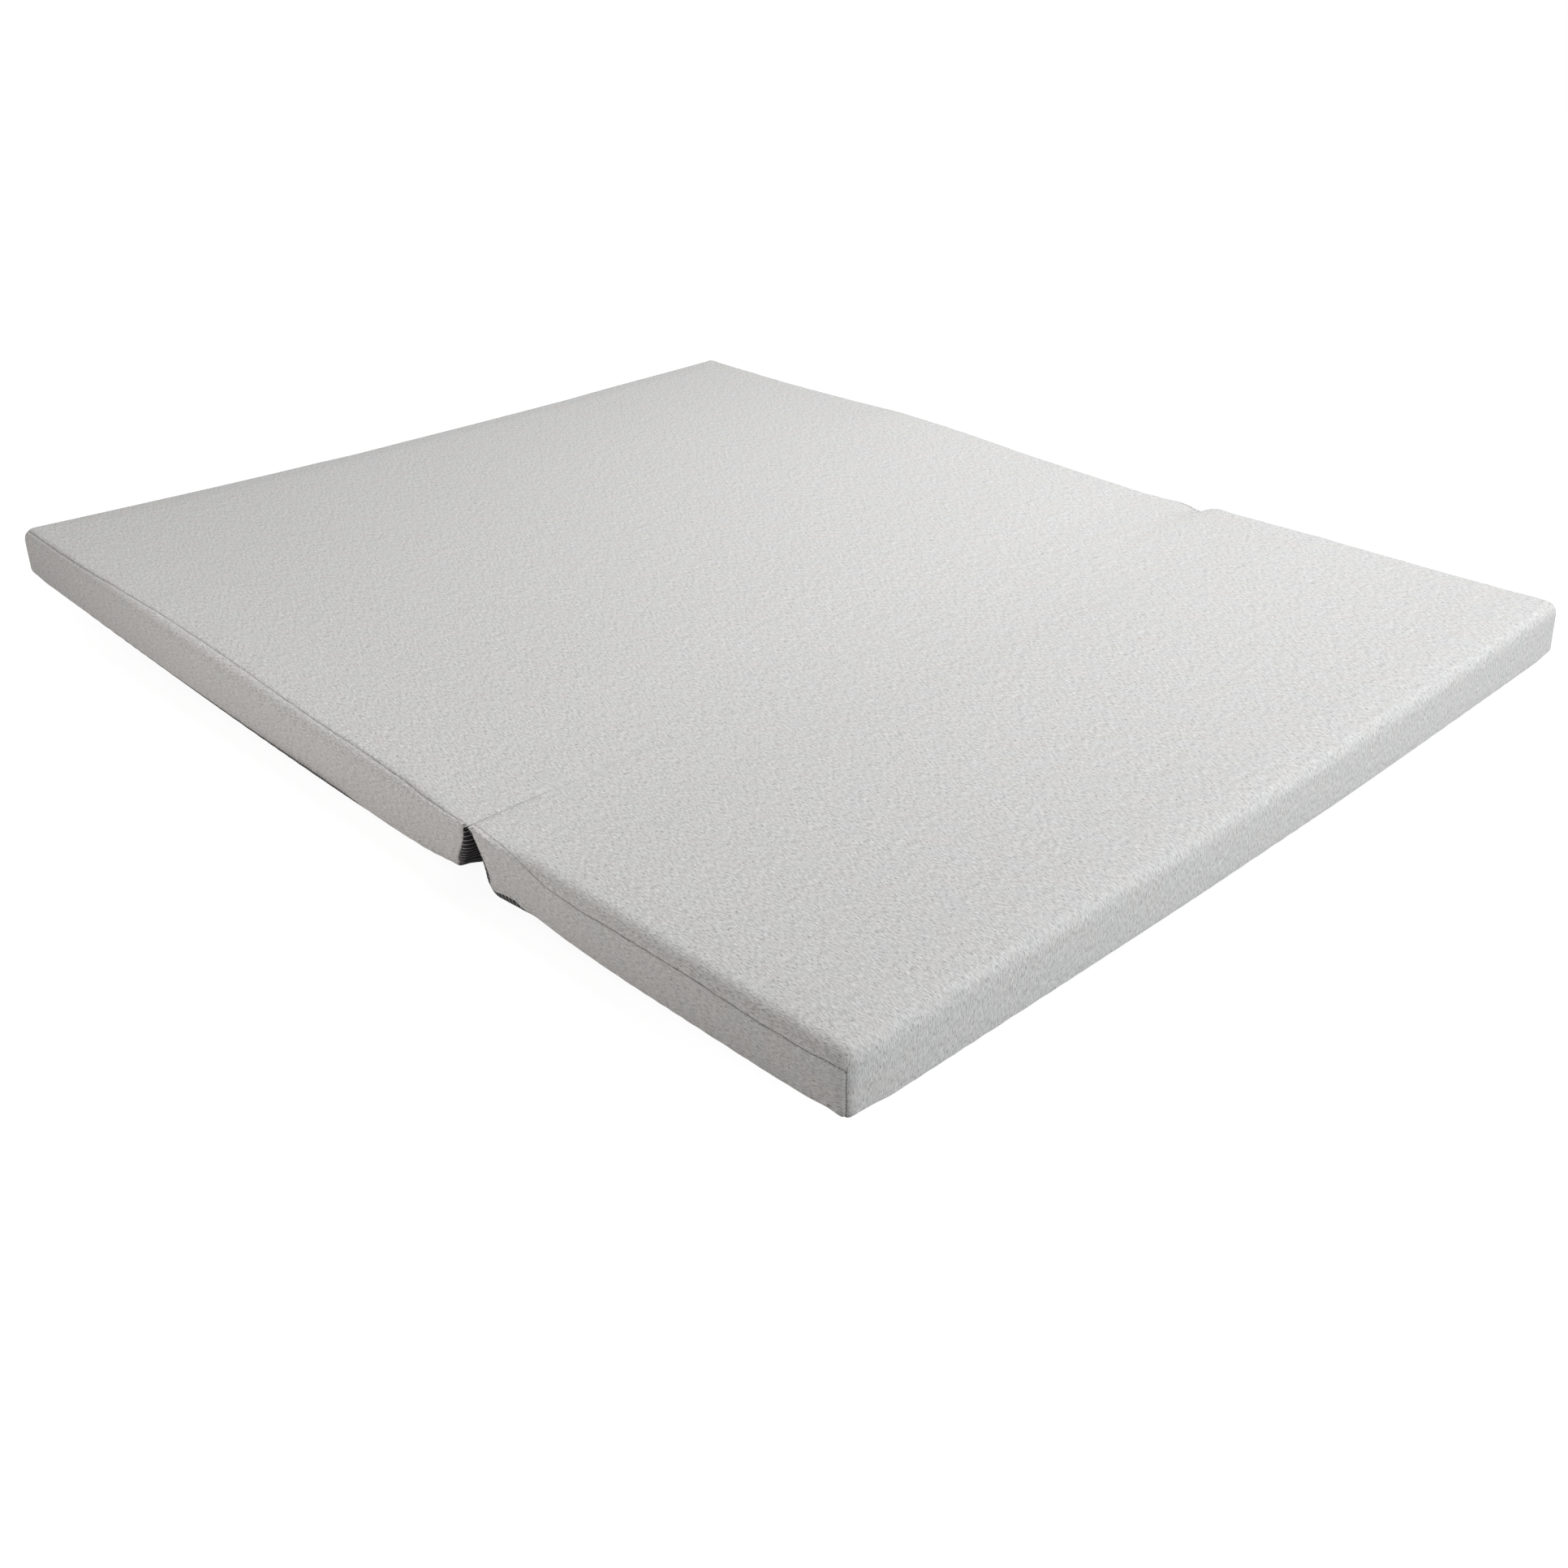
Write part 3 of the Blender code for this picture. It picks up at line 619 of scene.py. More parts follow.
# Grid of the covers
CLOTH_STEP = 0.009
SIDE_STEP = 0.008
FOAM_STEP = 0.018
FOAM_INSET = 0.0030
ARC_STEPS = 5
TABLE_STEPS = 161
ROW_STEPS = 401
SEAM_STEP = 0.006
CORNER_STEPS = 24
SLOT_ROWS = 0.12
SLOT_CLEAR = 0.2
SHOULDER_ROWS = (0.84, 0.92, 0.98)
RIM_STEPS = (0.0010, 0.0025, 0.0050)
RIM_ANGLE = 0.055
RIM_APART = 1.3
TRIM_MOST = 0.4

# Puckers along the seams: the way that they run, their wave lengths and how they fade
PUCKER_RUN = (1.0, 0.9, 0.5)
PUCKER_SHORT = 0.0047
PUCKER_MIDDLE = 0.031
PUCKER_LONG = 0.067
PUCKER_FADE = 0.4


class Mesher:
    """Turns grids of cage points into meshes."""

    @staticmethod
    def patch(axis: int, side: float, first: np.ndarray, second: np.ndarray) -> tuple:
        """Grid on one side of the cage.

        Args:
            axis: Axis that the side is square to.
            side: Where the side stands on that axis.
            first: Stations along the next axis.
            second: Stations along the one after.

        Returns:
            The grid's cage points and its quads, which face outwards.
        """
        one, two = np.meshgrid(first, second, indexing="ij")
        points = np.empty(one.shape + (3,))
        points[..., axis] = side
        points[..., (axis + 1) % 3] = one
        points[..., (axis + 2) % 3] = two
        quads = Mesher.cells(one.shape)
        return points.reshape(-1, 3), quads if side > 0.0 else quads[:, ::-1]

    @staticmethod
    def cells(shape: tuple[int, int]) -> np.ndarray:
        """Quads of a grid whose points are numbered row by row."""
        index = np.arange(shape[0] * shape[1]).reshape(shape)
        corners = (index[:-1, :-1], index[1:, :-1], index[1:, 1:], index[:-1, 1:])
        return np.stack(corners, axis=-1).reshape(-1, 4)

    @staticmethod
    def edges(quads: np.ndarray) -> np.ndarray:
        """Each quad's four directed edges."""
        return np.vstack([quads[:, [i, (i + 1) % 4]] for i in range(4)])

    @staticmethod
    def shell(quads: np.ndarray, count: int) -> np.ndarray:
        """Faces of a skin, of the same skin turned over behind it, and of the walls between.

        Args:
            quads: The skin's faces.
            count: How many points each skin has.

        Returns:
            The closed shell's faces.
        """
        rim = Mesher.rim(quads)
        walls = np.column_stack((rim[:, 1], rim[:, 0], rim[:, 0] + count, rim[:, 1] + count))
        return np.vstack((quads, quads[:, ::-1] + count, walls))

    @staticmethod
    def join(patches: list[tuple]) -> tuple[np.ndarray, np.ndarray]:
        """Merge patches along the cage points that they share.

        Args:
            patches: Pairs of cage points and quads.

        Returns:
            The merged cage points and quads.
        """
        points, quads, start = [], [], 0
        for some, faces in patches:
            points.append(some)
            quads.append(faces + start)
            start += len(some)
        every = np.vstack(points)
        _, first, merged = np.unique(
            np.round(every, 6), axis=0, return_index=True, return_inverse=True
        )
        return every[first], merged.reshape(-1)[np.vstack(quads)]

    @staticmethod
    def rim(quads: np.ndarray) -> np.ndarray:
        """Directed edges that only one quad has.

        Args:
            quads: Rows of four vertex numbers.

        Returns:
            Rows of two vertex numbers.
        """
        edges = Mesher.edges(quads)
        ordered = np.sort(edges, axis=1)
        _, back, count = np.unique(ordered, axis=0, return_inverse=True, return_counts=True)
        return edges[count[back.reshape(-1)] == 1]

    @staticmethod
    def build(name: str, points: np.ndarray, faces: list, uv: np.ndarray | None = None,
              **attributes: np.ndarray) -> bpy.types.Object:
        """Make an object of a mesh.

        Args:
            name: Name of the piece.
            points: Rows of x, y, z.
            faces: Rows or lists of vertex numbers.
            uv: Rows of u and v, one for each vertex.
            attributes: Values for each vertex, by name.

        Returns:
            The new object, in the scene.
        """
        mesh = bpy.data.meshes.new(name)
        mesh.from_pydata(points.tolist(), [], [list(face) for face in faces])
        if uv is not None:
            layer = mesh.uv_layers.new(name="cloth")
            corner = np.empty(len(mesh.loops), dtype=np.int32)
            mesh.loops.foreach_get("vertex_index", corner)
            layer.data.foreach_set("uv", uv[corner].astype(np.float32).ravel())
        for key, values in attributes.items():
            made = mesh.attributes.new(key, "FLOAT", "POINT")
            made.data.foreach_set("value", values.astype(np.float32))
        mesh.validate()
        mesh.shade_smooth()
        return link(name, mesh)


@dataclass
class Cover:
    """The four cloth panels of one section's cover."""

    section: Section
    seam_press: float = 0.0009
    seam_width: float = 0.0015
    pucker: float = 0.00035
    pucker_reach: float = 0.009
    slot_height: float = 0.012
    crease_width: float = 0.010
    crease_low: float = 0.060
    seam_least: float = 0.12
    seam_start: float = 0.06
    seam_rise: float = 0.14
    slot_calm: float = 0.02
    slot_above: float = 0.30
    slot_fade: float = 0.5
    thread_rise: float = 0.0001
    lining_drop: float = 0.0022
    lining_reach: float = 0.003
    shade_width: float = 0.0010

    def by_shoulder(self, points: np.ndarray, reach: float) -> np.ndarray:
        """1 at the top of the fold face and 0 away from it."""
        shoulder_x = FOLD_X - self.section.fold_sign * self.section.shoulder_radius / 2.0
        away = np.hypot(points[:, 0] - shoulder_x, np.minimum(points[:, 2] - THICKNESS, 0.0))
        return bell(away, reach)

    def seam_strength(self, kind: Panel, cage: np.ndarray, points: np.ndarray) -> np.ndarray:
        """How far each point follows the press and the painted shade of its seam.

        Args:
            kind: Which panel.
            cage: Rows of cage coordinates.
            points: Their places.

        Returns:
            A share for each row: little round the zip's slot and along the crease.
        """
        if kind is Panel.FAR:
            return self.off_slot(cage)
        fold = bell(points[:, 0] - FOLD_X, self.crease_width)
        high = ease((points[:, 2] - self.crease_low) / self.crease_width)
        if kind is Panel.UNDER:
            return 1.0 - fold * high
        seam = np.ones(len(points))
        if self.section.body is Body.SHORT:
            along = points[:, 0] - FOLD_X - self.seam_start
            seam = mix(self.seam_least, 1.0, ease(along / self.seam_rise))
        if kind is Panel.NEAR:
            return seam
        return mix(seam, crease_strength(points[:, 1]), fold * high)

    def stations(self, length: float, step: float) -> np.ndarray:
        """Cuts of a flat, finer where a panel's rim lies, and those of both roundings."""
        flat = np.linspace(-FLAT, FLAT, max(2, round(length / step)) + 1)
        angles = [HALF_QUARTER * k / ARC_STEPS for k in range(1, ARC_STEPS + 1)]
        angles.insert(-1, HALF_QUARTER - RIM_ANGLE)
        arc = np.array([FLAT + math.tan(a) for a in angles])
        arc[-1] = EDGE
        return np.concatenate((-arc[::-1], flat, arc))

    @staticmethod
    def finer(stations: np.ndarray, at: float, scale: float) -> np.ndarray:
        """Stations with a seam's fine steps put in at a place, a scale in metres a unit."""
        steps = np.array(RIM_STEPS) / scale
        lines = np.concatenate((at - steps[::-1], [at], at + steps))
        apart = steps[-1] * RIM_APART
        kept = stations[(np.abs(stations - at) > apart) | (np.abs(stations) > EDGE - SAME)]
        lines = lines[np.abs(lines) < EDGE]
        return np.unique(np.round(np.concatenate((kept, lines)), 7))

    def seam_spot(self) -> tuple[int, float]:
        """The axis and the cage place of the near seam's base line."""
        angle = self.section.seam_base / self.section.round_radius
        if angle < HALF_QUARTER:
            return 1, -FLAT - math.tan(angle)
        if self.section.seam_base < self.section.quarter:
            return 2, FLAT + math.tan(math.pi / 2.0 - angle)
        past = self.section.seam_base - self.section.quarter
        return 2, FLAT - past / self.section.half_flat_z

    def patches(self) -> dict[Panel, list[tuple]]:
        """Cut the cage into the four panels.

        Returns:
            The patches of each panel.
        """
        section = self.section
        xs = self.stations(section.length, CLOTH_STEP)
        ys = self.stations(WIDTH, CLOTH_STEP)
        zs = self.stations(THICKNESS / 2.0, SIDE_STEP)
        zs = np.unique(np.concatenate((zs, SHOULDER_ROWS)))
        axis, spot = self.seam_spot()
        if axis == 1:
            ys = self.finer(ys, spot, section.half_flat_y)
        else:
            zs = self.finer(zs, spot, section.half_flat_z)
        end, fold = -EDGE * section.fold_sign, EDGE * section.fold_sign
        grid = Mesher.patch
        top = [grid(0, end, ys, zs)]
        near = []
        if axis == 1:
            top.append(grid(2, EDGE, xs, ys[ys > spot - SAME]))
            near.append(grid(2, EDGE, xs, ys[ys < spot + SAME]))
            near.append(grid(1, -EDGE, zs, xs))
        else:
            top.append(grid(2, EDGE, xs, ys))
            top.append(grid(1, -EDGE, zs[zs > spot - SAME], xs))
            near.append(grid(1, -EDGE, zs[zs < spot + SAME], xs))
        under = [grid(2, -EDGE, xs, ys), grid(0, fold, ys, zs)]
        return {
            Panel.TOP: top, Panel.NEAR: near, Panel.UNDER: under, Panel.FAR: [self.far_patch(xs, zs)],
        }

    def far_patch(self, xs: np.ndarray, zs: np.ndarray) -> tuple:
        """The far side's grid, with the zip's slot left open."""
        section = self.section
        low, high = self.slot_ends()
        bottom = section.cage_height(ZIP_HEIGHT - self.slot_height / 2.0)
        top = section.cage_height(ZIP_HEIGHT + self.slot_height / 2.0)
        for place in (low, high):
            xs = self.finer(xs, place, section.length / 2.0)
        inside = zs[(zs > bottom - SLOT_CLEAR) & (zs < top + SLOT_CLEAR)]
        rows = [bottom, top, bottom - SLOT_ROWS, top + SLOT_ROWS]
        zs = np.unique(np.concatenate((np.setdiff1d(zs, inside), rows)))
        points, quads = Mesher.patch(1, EDGE, zs, xs)
        centre = points[quads].mean(axis=1)
        hole = (centre[:, 0] > low) & (centre[:, 0] < high)
        hole &= (centre[:, 2] > bottom) & (centre[:, 2] < top)
        quads = quads[~hole]
        used = np.unique(quads)
        number = np.full(len(points), -1)
        number[used] = np.arange(len(used))
        return points[used], number[quads]

    def slot_ends(self) -> tuple[float, float]:
        """Where the slot starts and stops on the cage's X axis."""
        section = self.section
        steps = np.linspace(-FLAT, FLAT, ROW_STEPS)
        row = rows_of(steps, EDGE, section.cage_height(ZIP_HEIGHT))
        low, high = np.interp(section.zip_span(), section.form(row, 0.0)[:, 0], steps)
        return float(low), float(high)

    def panel(self, kind: Panel, patches: list[tuple]) -> bpy.types.Object:
        """One panel as a closed shell of cloth, its rim turned in along the seams.

        Args:
            kind: Which panel.
            patches: Its grids on the cage.

        Returns:
            The panel's object.
        """
        section = self.section
        straight, quads = Mesher.join(patches)
        cage = section.warp(straight)
        surface = section.place(cage, 0.0)
        rim = Mesher.rim(quads)
        near_rim = self.rim_distance(surface, rim)
        press = self.seam_press * bell(near_rim, self.seam_width)
        press += self.pucker * self.ripple(surface) * np.exp(-near_rim / self.pucker_reach)
        strength = self.seam_strength(kind, cage, surface)
        press = press * strength
        outer = section.place(cage, press)
        inner = section.place(cage, press + CLOTH)
        if kind is Panel.UNDER:
            drop = self.lining_drop * self.by_shoulder(surface, self.lining_reach)
            outer[:, 2] -= drop
            inner[:, 2] -= drop
        step = self.trim(outer, quads, rim)
        outer += step
        inner += step
        faces = Mesher.shell(quads, len(outer))
        drawn = straight if kind is Panel.UNDER else section.drift(straight, surface[:, 0])
        beside = kind in (Panel.NEAR, Panel.FAR)
        uv = section.side_uv(drawn, surface) if beside else section.cloth_uv(drawn)
        # Painted shade: how much darker the cloth is painted near its seam, kept as the seam_shade
        # attribute
        shade = strength * bell(near_rim, self.shade_width)
        return Mesher.build(
            f"{section.name}_cover_{kind.value}", np.vstack((outer, inner)), faces,
            np.vstack((uv, uv)), seam_shade=np.concatenate((shade, shade)),
        )

    @staticmethod
    def rim_distance(points: np.ndarray, rim: np.ndarray) -> np.ndarray:
        """Distance of each point to the panel's rim."""
        middle = (points[rim[:, 0]] + points[rim[:, 1]]) / 2.0
        marks = np.vstack((points[rim[:, 0]], middle))
        tree = kdtree.KDTree(len(marks))
        for number, mark in enumerate(marks):
            tree.insert(mark, number)
        tree.balance()
        return np.array([tree.find(point)[2] for point in points])

    @staticmethod
    def ripple(points: np.ndarray) -> np.ndarray:
        """Small puckers along the seams, from -1 to 1."""
        run = points @ np.array(PUCKER_RUN)
        slow = np.sin(run / PUCKER_SHORT + 2.0 * np.sin(run / PUCKER_MIDDLE))
        return slow * (1.0 - PUCKER_FADE + PUCKER_FADE * np.sin(run / PUCKER_LONG + 1.0))

    def off_slot(self, cage: np.ndarray) -> np.ndarray:
        """0 round the zip's slot and 1 at the panel's outer rim."""
        low, high = self.slot_ends()
        middle_z = self.section.cage_height(ZIP_HEIGHT)
        beside = np.maximum(low - cage[:, 0], cage[:, 0] - high)
        beside = np.clip(beside * self.section.length / 2.0 / self.slot_calm, 0.0, 1.0)
        above = (np.abs(cage[:, 2] - middle_z) - self.slot_above) / self.slot_fade
        above = np.clip(above, 0.0, 1.0)
        return ease(np.maximum(beside, above))

    @staticmethod
    def trim(points: np.ndarray, quads: np.ndarray, rim: np.ndarray) -> np.ndarray:
        """Steps that draw the rim back by half of the seam's gap."""
        on_rim = np.zeros(len(points), dtype=bool)
        on_rim[rim.ravel()] = True
        edges = Mesher.edges(quads)
        edges = np.vstack((edges, edges[:, ::-1]))
        inward = edges[on_rim[edges[:, 0]] & ~on_rim[edges[:, 1]]]
        step = np.zeros_like(points)
        np.add.at(step, inward[:, 0], points[inward[:, 1]] - points[inward[:, 0]])
        size = np.linalg.norm(step, axis=1, keepdims=True)
        return step / np.maximum(size, SAME) * np.minimum(SEAM_GAP / 2.0, TRIM_MOST * size)

    def build(self, finishes: "Finishes") -> dict[Panel, bpy.types.Object]:
        """Make and dress the panels.

        Args:
            finishes: The materials.

        Returns:
            The panels' objects.
        """
        made = {}
        for kind, patches in self.patches().items():
            obj = self.panel(kind, patches)
            slot = Slot.PINSTRIPE if kind is Panel.UNDER else Slot.GREY_CLOTH
            finishes.dress(obj, slot)
            settle_piece(obj, self.section.body, f"{self.section.name}_{kind.value}_panel")
            made[kind] = obj
        return made

    def seam_paths(self) -> list[np.ndarray]:
        """Lines of thread: along the near seam, the far seam and both outer corners.

        Returns:
            Each seam's points.
        """
        section = self.section
        axis, spot = self.seam_spot()
        xs = np.linspace(-EDGE, EDGE, round(section.length / SEAM_STEP))
        near, far = rows_of(xs, -EDGE, EDGE), rows_of(xs, EDGE, EDGE)
        near[:, axis] = spot
        zs = np.linspace(-EDGE, EDGE, CORNER_STEPS)
        corners = [rows_of(-EDGE * section.fold_sign, y, zs) for y in (-EDGE, EDGE)]
        if axis == 2:
            corners[0] = corners[0][zs < spot]
        lines = [near, far, *corners]
        sunk = self.seam_press - self.thread_rise
        return [section.place(section.warp(line), sunk) for line in lines]


@dataclass
class Swelling:
    """Cloth simulation of one filled cover, kept as moves of the cage's own grid.

    The cover is blown up from a slightly smaller shape. It is held along the
    fold, on the floor, round the zip and at the sewn and rounded edges.
    """

    section: Section
    step: float = 0.034
    pressure: float = 4.0
    frames: int = 20
    cap_up: float = 0.0030
    cap_side: float = 0.0016
    top_hold: float = 0.030
    side_hold: float = 0.014
    fold_hold: float = 0.200
    far_hold: float = 0.060
    fold_still: float = 0.030
    far_still: float = 0.012
    low_hold: float = 0.5

    def __post_init__(self) -> None:
        """Cut the grid, run the simulation and keep its moves for each side of the cage."""
        cover = Cover(self.section)
        cuts = (
            cover.stations(self.section.length, self.step), cover.stations(WIDTH, self.step),
            cover.stations(THICKNESS / 2.0, self.step / 3.0),
        )
        self.grids = {
            (axis, side): (cuts[(axis + 1) % 3], cuts[(axis + 2) % 3])
            for axis in range(3) for side in (-EDGE, EDGE)
        }
        patches = {key: Mesher.patch(*key, *pair) for key, pair in self.grids.items()}
        cage, quads = Mesher.join(list(patches.values()))
        start = self.section.form(cage, 0.0)
        held = self.held(cage, start)
        caps = np.array((self.cap_side, self.cap_side, self.cap_up))
        moves = caps * np.tanh(self.run(start, quads, held) / caps) * (1.0 - held)[:, None]
        number = {tuple(row): place for place, row in enumerate(np.round(cage, 6))}
        self.moves = {}
        for key, (points, _) in patches.items():
            rows = [number[tuple(row)] for row in np.round(points, 6)]
            shape = tuple(len(cut) for cut in self.grids[key]) + (3,)
            self.moves[key] = moves[rows].reshape(shape)
        LOG.info("%s swelling: up %.4f m", self.section.name, moves[:, 2].max())

    def held(self, cage: np.ndarray, start: np.ndarray) -> np.ndarray:
        """How firmly each point is held, from 0 to 1.

        Args:
            cage: Rows of cage coordinates.
            start: Their places before the simulation.

        Returns:
            A share for each row.
        """
        section = self.section
        half = np.array((section.length / 2.0, section.half_flat_y, section.half_flat_z))
        from_edge = (FLAT - np.abs(cage)) * half
        from_edge[np.abs(cage) > EDGE - SAME] = 1.0
        top = cage[:, 2] > EDGE - SAME
        reach = np.where(top, self.top_hold, self.side_hold)
        sewn = ease(1.0 - from_edge.min(axis=1) / reach)
        below = ease((-self.low_hold - cage[:, 2]) / self.low_hold)
        x, y, z = start.T
        from_fold = np.abs(x - section.fold_face_x(np.clip(z, 0.0, THICKNESS)))
        fold = ease(1.0 - (from_fold - self.fold_still) / self.fold_hold)
        far = ease(1.0 - (FAR_Y - self.far_still - y) / self.far_hold)
        return np.clip(np.maximum.reduce((sewn, below, fold, far)), 0.0, 1.0)

    def run(self, start: np.ndarray, quads: np.ndarray, held: np.ndarray) -> np.ndarray:
        """Blow the cover up with Blender's cloth.

        Args:
            start: Rows of x, y, z.
            quads: The shell's faces.
            held: How firmly each point is held.

        Returns:
            How far each point moved.
        """
        obj = Mesher.build(f"{self.section.name}_swelling", start, quads)
        group = obj.vertex_groups.new(name="held")
        for number, weight in enumerate(held):
            group.add([number], float(weight), "REPLACE")
        cloth = obj.modifiers.new("swelling", "CLOTH")
        cloth.settings.vertex_group_mass = group.name
        cloth.settings.use_pressure = True
        cloth.settings.uniform_pressure_force = self.pressure
        cloth.settings.effector_weights.gravity = 0.0
        cloth.collision_settings.use_collision = False
        stage = bpy.context.scene
        for number in range(1, self.frames + 1):
            stage.frame_set(number)
        blown = obj.evaluated_get(bpy.context.evaluated_depsgraph_get())
        after = np.empty(len(start) * 3)
        blown.to_mesh().vertices.foreach_get("co", after)
        blown.to_mesh_clear()
        bpy.data.meshes.remove(obj.data)
        stage.frame_set(1)
        return after.reshape(-1, 3) - start

    def move(self, cage: np.ndarray, points: np.ndarray) -> np.ndarray:
        """Carry points of the form along with the swelling.

        Args:
            cage: Rows of cage coordinates, each on the cube's surface.
            points: Their places on the form.

        Returns:
            The moved rows.
        """
        moved = points.copy()
        todo = np.ones(len(cage), dtype=bool)
        for (axis, side), cuts in self.grids.items():
            rows = todo & (np.abs(cage[:, axis] - side) < SAME)
            todo &= ~rows
            grid = self.moves[axis, side]
            low, share = [], []
            for turn, cut in enumerate(cuts, start=1):
                value = np.clip(cage[rows, (axis + turn) % 3], cut[0], cut[-1])
                index = np.clip(np.searchsorted(cut, value) - 1, 0, len(cut) - 2)
                low.append(index)
                share.append(((value - cut[index]) / (cut[index + 1] - cut[index]))[:, None])
            one, two = low
            first = mix(grid[one, two], grid[one + 1, two], share[0])
            second = mix(grid[one, two + 1], grid[one + 1, two + 1], share[0])
            moved[rows] += mix(first, second, share[1])
        return moved


@dataclass
class Foam:
    """The foam block inside one section's cover."""

    section: Section
    channel_depth: float = 0.0045
    channel_half: float = 0.032
    channel_edge: float = 0.012
    channel_reach: float = 0.010
    run_out: float = 0.020

    def build(self, finishes: "Finishes") -> bpy.types.Object:
        """Make and dress the foam.

        Args:
            finishes: The materials.

        Returns:
            The foam's object.
        """
        section = self.section
        cover = Cover(section)
        xs = cover.stations(section.length, FOAM_STEP)
        ys = cover.stations(WIDTH, FOAM_STEP)
        zs = cover.stations(THICKNESS / 2.0, FOAM_STEP / 3.0)
        sides = [
            Mesher.patch(axis, side, *pair)
            for axis, pair in enumerate(((ys, zs), (zs, xs), (xs, ys)))
            for side in (-EDGE, EDGE)
        ]
        cage, quads = Mesher.join(sides)
        points = section.place(section.warp(cage), FOAM_INSET)
        obj = Mesher.build(f"{section.name}_foam", self.channel(points), quads)
        finishes.dress(obj, Slot.FOAM)
        settle_piece(obj, section.body, f"{section.name}_foam_core")
        return obj

    def channel(self, points: np.ndarray) -> np.ndarray:
        """Press the zip's channel into the far side."""
        section = self.section
        low, high = section.zip_span()
        x, y, z = points.T
        inside = ease(1.0 + (x - low) / self.run_out) * ease(1.0 + (high - x) / self.run_out)
        inside = inside * ease(2.0 + (y - FAR_Y) / self.channel_reach)
        away = np.abs(z - ZIP_HEIGHT - section.corner_lift(x, y))
        inside = inside * ease((self.channel_half - away) / self.channel_edge)
        return np.column_stack((x, y - self.channel_depth * inside, z))


@dataclass
class Crease:
    """The strip of cloth that joins the two top panels along the fold."""

    long_section: Section
    half_width: float = 0.0054
    columns: tuple[float, ...] = (0.0004, 0.0007, 0.0010, 0.0014, 0.0023, 0.0054)
    hump: float = 0.00006
    groove: float = 0.0012
    tuck: float = 0.0015
    thickness: float = 0.0006
    step: float = 0.008
    near_end: float = 0.006
    far_end: float = 0.012
    full_strength: float = 0.5
    ridge: float = 0.0006
    slope: float = 0.0008
    bend_half: float = 0.004

    def build(self, finishes: "Finishes") -> bpy.types.Object:
        """Make and dress the strip.

        Args:
            finishes: The materials.

        Returns:
            The strip's object.
        """
        ends = (NEAR_Y + self.near_end, FAR_Y - self.far_end)
        ys = np.linspace(*ends, round(WIDTH / self.step))
        side = np.array(self.columns)
        across = np.concatenate((-side[::-1], [0.0], side))
        grid_x, grid_y = np.meshgrid(FOLD_X + across, ys, indexing="ij")
        strength = crease_strength(grid_y)
        middle = mix(self.hump, self.groove, np.clip(strength / self.full_strength, 0.0, 1.0))
        away = ease((np.abs(grid_x - FOLD_X) - self.ridge) / self.slope)
        sink = mix(middle, np.maximum(self.tuck, middle), away)
        flat = rows_of(grid_x.ravel(), grid_y.ravel(), THICKNESS)
        top = self.long_section.wear(flat)
        top[:, 2] -= sink.ravel()
        top[:, 0] = flat[:, 0]
        bottom = top - np.array((0.0, 0.0, self.thickness))
        faces = Mesher.shell(Mesher.cells(grid_x.shape), grid_x.size)
        uv = flat[:, :2]
        # Painted shade along the crease, darkest towards the near side
        shade = np.tile(strength.ravel(), 2)
        obj = Mesher.build(
            "fold_seam_cloth", np.vstack((top, bottom)), faces, np.vstack((uv, uv)),
            seam_shade=shade,
        )
        finishes.dress(obj, Slot.GREY_CLOTH)
        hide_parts("fold_seam")
        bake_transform(obj)
        return obj


class NodeTree:
    """Builds one node tree."""

    prefix = "ShaderNode"

    def __init__(self, tree: bpy.types.NodeTree) -> None:
        """Start from an empty tree."""
        self.tree = tree
        self.tree.nodes.clear()

    def add(self, kind: str, inputs: dict | None = None, **settings: object) -> bpy.types.Node:
        """Add a node.

        Args:
            kind: Its type, without the first word that most of the tree's nodes share.
            inputs: Values or sockets for its inputs, by name or number.
            settings: The node's own settings.

        Returns:
            The node.
        """
        node = self.tree.nodes.new(kind if "Node" in kind else self.prefix + kind)
        for key, value in settings.items():
            setattr(node, key, value)
        for key, value in (inputs or {}).items():
            if isinstance(value, bpy.types.NodeSocket):
                self.tree.links.new(value, node.inputs[key])
            else:
                node.inputs[key].default_value = value
        return node

    def math(self, operation: str, one: object, two: object = 0.0) -> bpy.types.NodeSocket:
        """A sum, product or the like of two values."""
        return self.add("ShaderNodeMath", {0: one, 1: two}, operation=operation).outputs[0]

    def seen(self) -> bpy.types.NodeSocket:
        """1 for what the camera sees straight, in a mirror or through glass."""
        path = self.add("LightPath").outputs
        through = self.math("MAXIMUM", path["Is Glossy Ray"], path["Is Transmission Ray"])
        return self.math("MAXIMUM", path["Is Camera Ray"], through)


